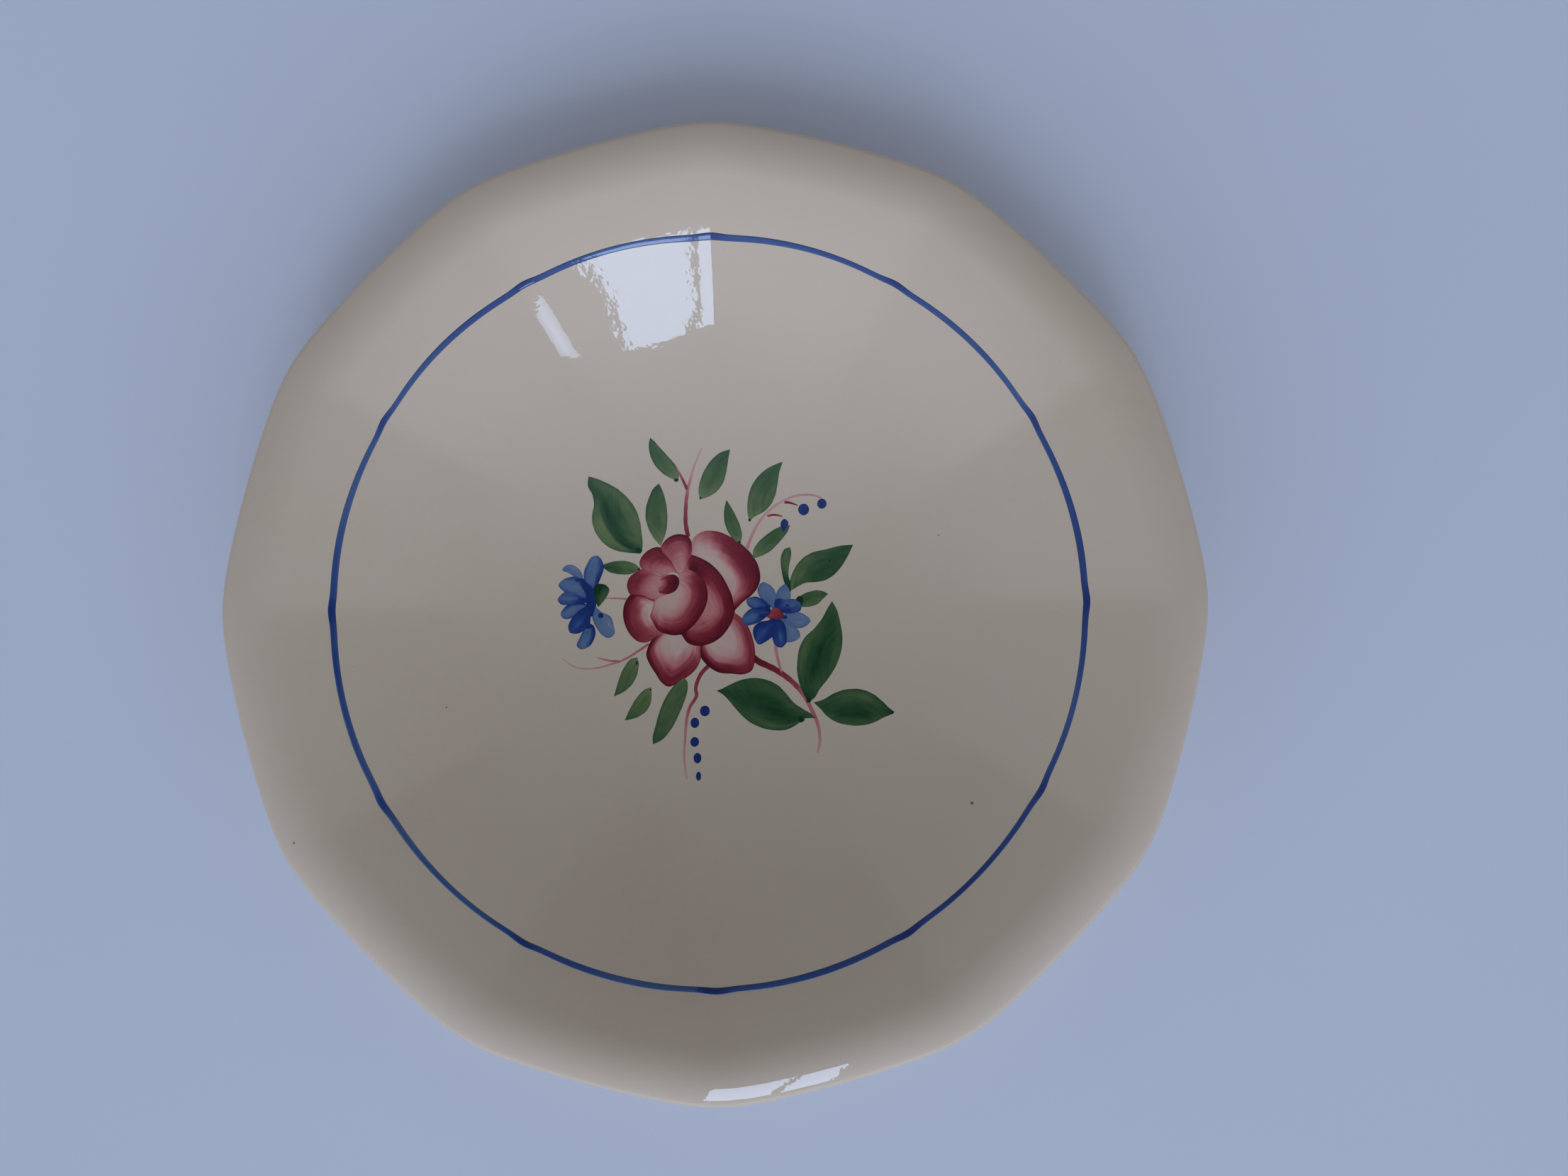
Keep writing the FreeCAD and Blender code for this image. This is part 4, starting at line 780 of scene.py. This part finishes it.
STEMS = {
    "stem_top": [
        stem([(-10.1, 22.6), (-10.8, 27), (-10.7, 31), (-10.3, 35), (-9.8, 37.6), (-8.8, 41), (-7.5, 45),
              (-5, 50.3)], 1.3, 0.55, [78, 72, 66, 52, 34, 22, 18, 14]),
        stem([(-9.9, 37.2), (-11, 39.6), (-12.2, 42.2), (-13.1, 44)], 0.95, 0.5, [70, 62, 50, 30]),
    ],
    "stem_upper_right": [
        stem([(8.1, 18.2), (9.3, 21.5), (11, 25), (13.5, 28.6), (16.5, 31.3), (19.7, 33.3), (23.2, 34.7),
              (27, 35.1), (30, 34.7), (32.2, 33.8)], 0.95, 0.55, [30, 26, 22, 20, 20, 24, 26, 28]),
        stem([(20.2, 33), (22, 32.8), (24.6, 31.9)], 0.85, 0.35, [70, 74, 60]),
        stem([(14.8, 28.8), (17, 29.2), (19.8, 28.6)], 0.65, 0.45, [60, 70, 55]),
    ],
    "stem_left": [
        stem([(-36.4, 3.7), (-33, 3.65), (-28.8, 3.4)], 0.4, 0.6, [30, 34, 40]),
    ],
    "stem_lower_left": [
        stem([(-22.6, -10.6), (-26, -12.9), (-28.5, -14.5), (-31.5, -16), (-34, -16.8), (-38, -17.9),
              (-42, -18.2), (-45.5, -17.4), (-48, -15.7), (-49, -14.8)], 0.75, 0.4,
            [50, 44, 40, 34, 26, 22, 20, 16]),
        stem([(-31.4, -16.1), (-34, -15.9), (-36.5, -15.4), (-38.8, -14.7)], 0.7, 0.4, [46, 40, 28]),
    ],
    "stem_bottom": [
        stem([(-4.1, -17.8), (-6.3, -20), (-7.6, -22.5), (-8.2, -25), (-7.9, -27), (-8.8, -28.7),
              (-9.9, -30.4), (-10.7, -33), (-11.2, -37), (-11.4, -41), (-11.6, -45), (-11.2, -49),
              (-10.6, -52.6)], 1.2, 0.5, [74, 66, 60, 56, 40, 34, 28, 24, 16]),
    ],
    "stem_lower_right": [
        stem([(9.6, -15.3), (12, -16.9), (15, -18.3), (18, -20), (20.8, -22), (23.3, -24.3), (25.5, -27),
              (26.7, -29), (27.5, -30.8), (28.7, -33.3), (29.7, -36), (30.3, -39), (30.2, -42),
              (29.5, -45)], 1.85, 0.75, [95, 88, 80, 70, 62, 50, 42, 40, 34, 28, 20]),
        stem([(16.9, -11.6), (17.4, -15), (18.1, -18), (18.9, -20.6)], 1, 0.7, [30, 30, 32]),
    ],
}

ROUND_DAB = {0: [78], 0.5: [88], 1: [80]}
BERRIES = [
    dab(26.3, 30.6, 1.75, 1.8, ROUND_DAB),
    dab(32, 32.2, 1.5, 1.55, ROUND_DAB),
    petal((19.8, 23.4), [(19.2, 25), (19, 26.6), (20.2, 27.9), (21.5, 26.8), (20.9, 25)],
        {0: [97, 95, 82, 82], 0.5: [97, 95, 86, 84], 1: [97, 95, 82, 82]}),
]
DOTS = [dab(*place_and_size, ROUND_DAB) for place_and_size in (
    (-5.3, -31.8, 1.6, 1.65), (-8.4, -35.4, 1.4, 1.6), (-8.4, -41.2, 1.4, 1.5), (-7.5, -46.1, 1.25, 1.6),
    (-7.1, -51.5, 0.8, 1.4))]


# ---------------- materials

CREAM = (0.71, 0.555, 0.385)
PORE_BROWN = (0.42, 0.33, 0.24)
IRON_BROWN = (0.12, 0.06, 0.03)
POOLED_GLAZE = (0.66, 0.56, 0.37)
THIN_GLAZE = (0.55, 0.38, 0.22)
GRIT = (0.30, 0.20, 0.13)
SHELF_GREY = (0.34, 0.30, 0.26)
CLAY = [(0.3, (0.50, 0.36, 0.24)), (0.55, (0.62, 0.48, 0.34)), (0.75, (0.70, 0.57, 0.43))]
PIT_DEPTH = 0.15 * MM
RIPPLE_HEIGHT = 0.02 * MM
# x, y and radius of each iron speck in mm
SPECKS = ((74.1, -58.2, 0.5), (-117.7, -65.0, 0.35), (-80.9, -28.8, 0.25), (67.1, 21.2, 0.25))

# Each pigment is the share of the glaze's light that comes through it, by how thickly it lies
ROSE_PIGMENT = [(0.0, (1.0, 1.0, 1.0)), (0.14, (0.97, 0.72, 0.82)), (0.3, (0.90, 0.47, 0.57)),
                (0.45, (0.76, 0.26, 0.35)), (0.6, (0.54, 0.12, 0.185)), (0.75, (0.37, 0.050, 0.098)),
                (0.9, (0.25, 0.026, 0.062)), (1.0, (0.15, 0.016, 0.040))]
LEAF_PIGMENT = [(0.0, (1.0, 1.0, 1.0)), (0.12, (0.72, 0.79, 0.60)), (0.35, (0.28, 0.44, 0.24)),
                (0.5, (0.175, 0.325, 0.17)), (0.65, (0.100, 0.235, 0.122)), (0.8, (0.053, 0.172, 0.088)),
                (0.92, (0.026, 0.122, 0.062)), (1.0, (0.015, 0.075, 0.045))]
BLUE_PIGMENT = [(0.0, (1.0, 1.0, 1.0)), (0.12, (0.62, 0.76, 0.93)), (0.3, (0.24, 0.41, 0.82)),
                (0.5, (0.12, 0.27, 0.72)), (0.65, (0.055, 0.15, 0.62)), (0.8, (0.028, 0.085, 0.47)),
                (1.0, (0.015, 0.055, 0.36))]
ROSE_STREAK, LEAF_STREAK, BLUE_STREAK = 0.30, 0.34, 0.40     # how strongly the brush hairs show


class Tree:
    """Short ways to add and join shader nodes."""

    def __init__(self, tree):
        self.tree = tree

    def add(self, kind, settings=None, **inputs):
        node = self.tree.nodes.new(kind)
        for name, value in (settings or {}).items():
            setattr(node, name, value)
        for name, value in inputs.items():
            self.feed(node.inputs[int(name[1:]) if name[0] == "_" else name.replace("_", " ")], value)
        return node

    def feed(self, socket, value):
        if isinstance(value, bpy.types.NodeSocket):
            self.tree.links.new(value, socket)
        else:
            socket.default_value = value

    def maths(self, operation, a, b=0.0):
        return self.add("ShaderNodeMath", {"operation": operation}, _0=a, _1=b).outputs[0]

    def times(self, a, b):
        return self.maths("MULTIPLY", a, b)

    def plus(self, a, b):
        return self.maths("ADD", a, b)

    def vector(self, operation, a, b):
        node = self.add("ShaderNodeVectorMath", {"operation": operation}, _0=a, _1=b)
        return node.outputs["Value" if operation == "DISTANCE" else "Vector"]

    def parts(self, vector):
        return self.add("ShaderNodeSeparateXYZ", None, Vector=vector).outputs

    def place(self):
        return self.add("ShaderNodeTexCoord").outputs["Object"]

    def ramp(self, value, stops):
        node = self.add("ShaderNodeValToRGB", None, Fac=value)
        elements = node.color_ramp.elements
        while len(elements) < len(stops):
            elements.new(0.5)
        for element, (position, colour) in zip(elements, stops):
            element.position = position
            element.color = (*colour, 1.0) if isinstance(colour, tuple) else (colour, colour, colour, 1.0)
        return node.outputs[0]

    def over(self, share, below, colour):
        return self.mix("MIX", share, below, (*colour, 1.0))

    def mix(self, mode, share, a, b):
        node = self.add("ShaderNodeMix", {"data_type": "RGBA", "blend_type": mode})
        self.feed(node.inputs[0], share)
        self.feed(node.inputs[6], a)
        self.feed(node.inputs[7], b)
        return node.outputs[2]

    def noise(self, vector, scale, detail=2.0, roughness=0.5):
        return self.add("ShaderNodeTexNoise", None, Vector=vector, Scale=scale, Detail=detail,
                        Roughness=roughness).outputs[0]


def glaze_colour_group():
    """The cream glaze: soft shifts of tone, faint pores and a few iron specks. Also its ripple."""
    group = bpy.data.node_groups.new("cream_glaze", "ShaderNodeTree")
    for name, kind in (("Color", "NodeSocketColor"), ("Ripple", "NodeSocketFloat"),
                       ("Roughness", "NodeSocketFloat")):
        group.interface.new_socket(name, in_out="OUTPUT", socket_type=kind)
    t = Tree(group)
    place = t.place()
    cloud = t.noise(place, 14.0, 3.0)
    grain = t.noise(place, 420.0, 2.0)
    tone = t.plus(t.times(cloud, 0.8), t.times(grain, 0.2))
    colour = t.ramp(tone, [(0.3, (0.965 * CREAM[0], 0.955 * CREAM[1], 0.93 * CREAM[2])), (0.5, CREAM),
                           (0.7, (1.015 * CREAM[0], 1.02 * CREAM[1], 1.035 * CREAM[2]))])
    cells = t.add("ShaderNodeTexVoronoi", None, Vector=place, Scale=230.0).outputs
    chance = t.add("ShaderNodeSeparateColor", None, Color=cells["Color"]).outputs[0]
    rare = t.maths("GREATER_THAN", chance, 0.86)
    pore = t.times(rare, t.ramp(cells["Distance"], [(0.02, 0.5), (0.06, 0.0)]))
    colour = t.over(pore, colour, PORE_BROWN)
    for x, y, radius in SPECKS:
        away = t.vector("DISTANCE", t.vector("MULTIPLY", place, (1.0, 1.0, 0.0)), (x * MM, y * MM, 0.0))
        speck = t.ramp(t.maths("DIVIDE", away, radius * MM * 2), [(0.25, 0.85), (0.6, 0.0)])
        colour = t.over(speck, colour, IRON_BROWN)
    ripple = t.plus(t.noise(place, 60.0, 1.0), t.times(t.noise(place, 330.0, 2.0), 0.6))
    rough = t.ramp(t.noise(place, 30.0, 3.0), [(0.3, 0.012), (0.7, 0.024)])
    out = t.add("NodeGroupOutput")
    t.feed(out.inputs["Color"], colour)
    t.feed(out.inputs["Ripple"], ripple)
    t.feed(out.inputs["Roughness"], rough)
    return group


GLAZE_GROUP = glaze_colour_group()


def start_material(name):
    material = bpy.data.materials.new(name)
    material.use_nodes = True
    material.node_tree.nodes.clear()
    t = Tree(material.node_tree)
    surface = t.add("ShaderNodeBsdfPrincipled", None, IOR=1.5)
    out = t.add("ShaderNodeOutputMaterial")
    t.feed(out.inputs["Surface"], surface.outputs[0])
    return material, t, surface


def glaze_nodes(t):
    return t.add("ShaderNodeGroup", {"node_tree": GLAZE_GROUP}).outputs


def set_surface(t, surface, colour, roughness, height, distance, facing=None):
    """Feeds a surface its colour, its roughness and its fine relief."""
    t.feed(surface.inputs["Base Color"], colour)
    t.feed(surface.inputs["Roughness"], roughness)
    bump = t.add("ShaderNodeBump", None, Strength=1.0, Distance=distance, Height=height)
    if facing is not None:
        t.feed(bump.inputs["Normal"], facing)
    t.feed(surface.inputs["Normal"], bump.outputs[0])


def make_glaze(name, turned):
    """Glossy cream glaze; a turned one shows the faint rings of the potter's wheel under it."""
    material, t, surface = start_material(name)
    glaze = glaze_nodes(t)
    height, colour = glaze["Ripple"], glaze["Color"]
    if turned:
        x, y, z = t.parts(t.place())
        out = t.maths("SQRT", t.plus(t.maths("POWER", x, 2.0), t.maths("POWER", y, 2.0)))
        rings = t.add("ShaderNodeTexNoise", {"noise_dimensions": "1D"}, W=out, Scale=420.0, Detail=2.0)
        height = t.plus(height, t.times(rings.outputs[0], 1.6))
        pooled = t.ramp(t.times(out, 10.0), [(0.46, 0.0), (0.505, 0.5), (0.59, 0.55), (0.64, 0.0)])
        thin = t.ramp(t.times(z, 100.0), [(0.12, 0.75), (0.22, 0.0)])
        colour = t.over(thin, t.over(pooled, colour, POOLED_GLAZE), THIN_GLAZE)
    set_surface(t, surface, colour, glaze["Roughness"], height, RIPPLE_HEIGHT)
    return material


def well_normal(t):
    """The direction the glaze faces in the round well, so that gloss runs smoothly over the colour."""
    inward = t.vector("SUBTRACT", (0.0, 0.0, WELL_CENTRE[1]), t.place())
    return t.add("ShaderNodeVectorMath", {"operation": "NORMALIZE"}, _0=inward).outputs[0]


def make_pigment(name, stops, streak, in_well=True):
    """Colour brushed on the glaze: its wash, brush streaks, cloudy pooling, under the same gloss."""
    material, t, surface = start_material(name)
    glaze = glaze_nodes(t)
    wash = t.add("ShaderNodeAttribute", {"attribute_name": "wash"}).outputs["Fac"]
    brush = t.add("ShaderNodeAttribute", {"attribute_name": "brush"}).outputs["Vector"]
    hairs = t.noise(t.vector("MULTIPLY", brush, (0.1, 0.9, 1.0)), 1.0, 2.0, 0.6)
    cloud = t.noise(brush, 0.28)
    grain = t.noise(brush, 2.4)

    def varied(pattern, amount):
        return t.times(t.maths("SUBTRACT", pattern, 0.5), amount)

    uneven = t.plus(t.plus(varied(hairs, streak), varied(cloud, 0.22)), varied(grain, 0.08))
    most = t.times(t.times(wash, t.maths("SUBTRACT", 1.25, wash)), 2.2)
    density = t.plus(wash, t.times(uneven, most))
    colour = t.mix("MULTIPLY", 1.0, glaze["Color"], t.ramp(density, stops))
    rough = t.plus(glaze["Roughness"], t.times(density, 0.03))
    facing = well_normal(t) if in_well else None
    set_surface(t, surface, colour, rough, glaze["Ripple"], RIPPLE_HEIGHT, facing)
    return material


def make_clay():
    """Fired buff clay, bare and ground flat where the dish stands: grit, pits and shelf wear."""
    material, t, surface = start_material("fired_clay")
    place = t.place()
    body = t.ramp(t.noise(place, 90.0, 4.0), CLAY)
    grains = t.add("ShaderNodeTexVoronoi", None, Vector=place, Scale=900.0).outputs["Distance"]
    body = t.over(t.ramp(grains, [(0.05, 0.7), (0.2, 0.0)]), body, GRIT)
    worn = t.ramp(t.noise(place, 26.0, 5.0, 0.65), [(0.5, 0.0), (0.68, 0.6)])
    rough = t.ramp(t.noise(place, 300.0, 3.0), [(0.3, 0.7), (0.7, 0.92)])
    pits = t.noise(place, 1400.0, 3.0)
    set_surface(t, surface, t.over(worn, body, SHELF_GREY), rough, pits, PIT_DEPTH)
    return material


# ---------------- build the dish

def coat_side(radius, draft, depth):
    """Section points down one side of the foot ring, from the back to where the glaze stops."""
    low, high = np.array([radius, 0.0]), well_arc(radius + draft, radius + draft, depth, 1)[0]
    share = (BARE_FOOT - low[1]) / (high[1] - low[1])
    return np.linspace(high, low + (high - low) * share, FOOT_STEPS + 1)


def face_side(inset):
    """Section of the face coat's outside, or of its lining when it is inset by the glaze."""
    rim = arc(RIM_CENTRE, THICKNESS / 2 - inset, LIP_END, math.pi / 2, RIM_STEPS)
    return joined(face_section(0.0, inset), rim)


def back_side(inset):
    ring = coat_side(FOOT_OUTER_RADIUS - inset, FOOT_DRAFT, THICKNESS - inset)
    rim = arc(RIM_CENTRE, THICKNESS / 2 - inset, math.pi / 2, LIP_END + math.pi, RIM_STEPS)
    return joined(ring[::-1], face_section(ring[0][0], THICKNESS - inset), rim[::-1])


def foot_well_side(inset):
    ring = coat_side(FOOT_INNER_RADIUS + inset, -FOOT_DRAFT, THICKNESS - inset)
    return joined(well_arc(0.0, ring[0][0], THICKNESS - inset, WELL_STEPS), ring)


def coat(side):
    """The whole section of a coat: its outside, and its lining back to the start."""
    return np.concatenate([side(0.0), side(GLAZE)[::-1]])


def make_coats():
    face = make_glaze("glaze_face", False)
    underside = make_glaze("glaze_underside", True)
    keep_piece(make_domed_skin("face_glaze", coat(face_side)), "glaze_face", face)
    keep_piece(make_ring_skin("back_glaze", coat(back_side)[::-1]), "glaze_back", underside)
    foot_well = make_domed_skin("foot_well_glaze", coat(foot_well_side)[::-1])
    keep_piece(foot_well, "glaze_foot_well", underside)


def round_a_film(top, under):
    """Columns once round a film: over its top and, without the edges they share, back underneath."""
    return np.concatenate([top, under[:, 1:-1][:, ::-1]], axis=1)


def make_band(material):
    """The blue line, drawn with a loaded brush while the dish turned."""
    across = np.linspace(-0.5, 0.5, BAND_STEPS + 1)[None, :]
    angle = angles_round()[:, None]
    from_crease = angle - SECTOR * np.round(angle / SECTOR)
    over_crease = np.exp(-((from_crease / BULGE_SPREAD) ** 2))
    unsteady = 0.10 * np.sin(3 * angle + 0.4) + 0.08 * np.sin(5 * angle + 2.0) + 0.05 * np.sin(11 * angle)
    wide = BAND_WIDTH * (1 + 0.08 * np.sin(4 * angle + 1.0) + 0.06 * np.sin(9 * angle) + 0.14 * over_crease)
    line = (BAND_RADIUS + BAND_SHIFT[0] * np.cos(angle) + BAND_SHIFT[1] * np.sin(angle)
            + CREASE_BULGE * over_crease + MM * unsteady)
    flat = (line + across * wide) / (1 + fold(angle, BAND_RADIUS))
    height = WELL_TOP + (flat - WALL_FOOT_RADIUS) * math.tan(WALL_SLOPE)
    reach = flat * (1 + fold_share(flat) * fold(angle, flat))
    x, y = reach * np.cos(angle), reach * np.sin(angle)

    def lifted(lift):
        inward = 1 - lift * math.sin(WALL_SLOPE) / reach
        return np.stack([x * inward, y * inward, height + warp(x, y) + lift * math.cos(WALL_SLOPE)], axis=-1)

    top, under = film_offsets(wide * (0.5 - np.abs(across)), FILM_LIFT)
    loop = round_a_film(lifted(top), lifted(under))
    rows, columns = loop.shape[:2]
    obj = new_object("blue_line", loop, [f[::-1] for f in grid_faces(0, rows, columns, True, True)])
    turn = np.mod(angle - BAND_START, 2 * math.pi) / (2 * math.pi)
    load = 0.70 - 0.10 * turn + 0.05 * np.sin(6 * angle + 1.0) + 0.16 * over_crease
    load = load + 0.12 * np.exp(-((turn - 0.004) / 0.004) ** 2)     # the brush rested where it set down
    wash = np.clip(load - 0.10 * (2 * np.abs(across)) ** 3, 0, 1)
    wash = round_a_film(wash, wash)
    side = round_a_film(across * wide, across * wide) / MM
    run = BAND_RADIUS * turn / MM + 0 * wash
    store_paint(obj.data, wash, np.stack([run, side, 0 * run], axis=-1))
    keep_piece(obj, "blue_band", material)


def paint(name, strokes, layer, node, pigment):
    keep_piece(make_film("painted_" + name, strokes, layer), node, pigment)


def make_bouquet(rose, leaf_green, blue):
    for node, strokes in STEMS.items():
        paint(node, strokes, STEM_LAYER, node, rose)
    for node, strokes in LEAVES.items():
        paint(node, strokes, LEAF_LAYER, node, leaf_green)
    for node, (layer, stroke) in ROSE.items():
        paint(node, [stroke], ROSE_LAYER + layer, node, rose)
    for node, strokes in FLOWERS.items():
        paint(node, [fuller(stroke) for stroke in strokes], PETAL_LAYER, node, blue)
    paint("calyx", CALYX, HEART_LAYER, "left_flower_calyx", leaf_green)
    paint("flower_heart", HEART, HEART_LAYER, "right_flower_heart", rose)
    paint("berries", BERRIES, PETAL_LAYER, "berries", blue)
    paint("dots", DOTS, DOT_LAYER, "dots", blue)


make_coats()
body_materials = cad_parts["plate_body"].data.materials
body_materials.clear()
body_materials.append(make_clay())
make_bouquet(make_pigment("crimson_paint", ROSE_PIGMENT, ROSE_STREAK),
             make_pigment("green_paint", LEAF_PIGMENT, LEAF_STREAK),
             make_pigment("blue_paint", BLUE_PIGMENT, BLUE_STREAK))
make_band(make_pigment("blue_line_paint", BLUE_PIGMENT, BLUE_STREAK, in_well=False))


# ---------------- studio

WINDOW_TINT = (0.78, 1.0, 1.45)
WINDOW_RADIANCE = 6.1
WINDOW_DISTANCE = 1.2
WINDOW_LOW, WINDOW_HIGH = 0.965, 1.89
RIGHT_PANE = (0.110, 0.217)     # where a pane's left and right edges are
LEFT_PANE = (-0.15, 0.0875)

LAMP_AWAY = 0.8             # a small narrow lamp, aimed at the crease on the upper left
LAMP_BEARING, LAMP_RISE = math.radians(-65.8), math.radians(52.0)
LAMP_SIZE = (0.14, 0.085)
LAMP_BEAM = math.radians(24.0)
LAMP_AIM = Vector((-46.0, 83.0, 31.0)) * MM

ROOM_TINT = (0.93, 1.0, 1.22, 1.0)
ROOM_LEVEL = 0.27           # light from all round, apart from straight above
SIDE_TINT = (0.83, 1.0, 1.38, 1.0)
SIDE_LEVEL = 1.08           # light that comes level from the window's side, less from further round
FLOOR_REACH = 30.0          # half the width of the floor

SENSOR_WIDTH, LENS = 36.0, 26.85
CAMERA_ABOVE_WELL = 368.0 * MM
CAMERA_PLACE = (24.74 * MM, -9.81 * MM, WELL_HEIGHT + CAMERA_ABOVE_WELL)
CAMERA_TURN = (math.radians(2.5), math.radians(0.8), math.radians(-0.74))


def make_floor():
    corners = np.array([(-1, -1, 0), (1, -1, 0), (1, 1, 0), (-1, 1, 0)]) * FLOOR_REACH
    floor = new_object("floor", corners, [(0, 1, 2, 3)])
    material, t, surface = start_material("pale_floor")
    place = t.place()
    shade = t.ramp(t.noise(place, 3.0, 3.0), [(0.3, (0.78, 0.795, 0.835)), (0.7, (0.81, 0.825, 0.865))])
    t.feed(surface.inputs["Base Color"], shade)
    t.feed(surface.inputs["Roughness"], 0.9)
    t.feed(surface.inputs["Specular IOR Level"], 0.2)
    floor.data.materials.append(material)


def make_lamp(name, size, strength):
    """A flat rectangular lamp, which the glaze mirrors; strength is its brightness seen head on."""
    lamp = bpy.data.lights.new(name, "AREA")
    lamp.shape = "RECTANGLE"
    lamp.size, lamp.size_y = size
    lamp.energy = strength * math.pi * size[0] * size[1]
    lamp.color = WINDOW_TINT
    obj = bpy.data.objects.new(name, lamp)
    bpy.context.scene.collection.objects.link(obj)
    return obj


def make_pane(name, left, right):
    """One upright pane of the window in front of the dish."""
    obj = make_lamp(name, (right - left, WINDOW_HIGH - WINDOW_LOW), WINDOW_RADIANCE)
    obj.location = ((left + right) / 2, -WINDOW_DISTANCE, (WINDOW_LOW + WINDOW_HIGH) / 2)
    obj.rotation_euler = (math.pi / 2, 0, 0)


def make_crease_lamp():
    """The narrow lamp; its beam keeps it from showing anywhere but round the crease it is aimed at."""
    away = Vector((math.cos(LAMP_RISE) * math.cos(LAMP_BEARING), math.cos(LAMP_RISE) * math.sin(LAMP_BEARING),
                   math.sin(LAMP_RISE)))
    half = LAMP_BEAM / 2
    gathered = 1 - half / math.tan(half)     # a narrow beam gathers the lamp's light
    obj = make_lamp("crease_lamp", LAMP_SIZE, WINDOW_RADIANCE * gathered)
    obj.data.spread = LAMP_BEAM
    obj.location = LAMP_AIM + LAMP_AWAY * away
    obj.rotation_euler = (-away).to_track_quat("-Z", "Y").to_euler()


def make_sky():
    """Soft light from all round but straight above, and more of it from the window's side."""
    world = bpy.data.worlds.new("studio")
    world.use_nodes = True
    world.node_tree.nodes.clear()
    t = Tree(world.node_tree)
    way = t.parts(t.add("ShaderNodeTexCoord").outputs["Generated"])
    around = t.times(t.ramp(way[2], [(0.62, 1.0), (0.86, 0.12)]), ROOM_LEVEL)
    level = t.times(t.maths("MAXIMUM", t.times(way[1], -1.0), 0.0), SIDE_LEVEL)
    room = t.add("ShaderNodeBackground", None, Color=ROOM_TINT, Strength=around)
    side = t.add("ShaderNodeBackground", None, Color=SIDE_TINT, Strength=level)
    both = t.add("ShaderNodeAddShader", None, _0=room.outputs[0], _1=side.outputs[0])
    out = t.add("ShaderNodeOutputWorld")
    t.feed(out.inputs["Surface"], both.outputs[0])
    bpy.context.scene.world = world


def make_camera():
    camera = bpy.data.cameras.new("camera")
    camera.sensor_width, camera.lens = SENSOR_WIDTH, LENS
    camera.clip_start = 0.01
    obj = bpy.data.objects.new("camera", camera)
    obj.location = CAMERA_PLACE
    obj.rotation_euler = CAMERA_TURN
    bpy.context.scene.collection.objects.link(obj)
    bpy.context.scene.camera = obj


make_floor()
make_pane("window_right_pane", *RIGHT_PANE)
make_pane("window_left_pane", *LEFT_PANE)
make_crease_lamp()
make_sky()
make_camera()
bpy.context.scene.view_settings.view_transform = "Standard"
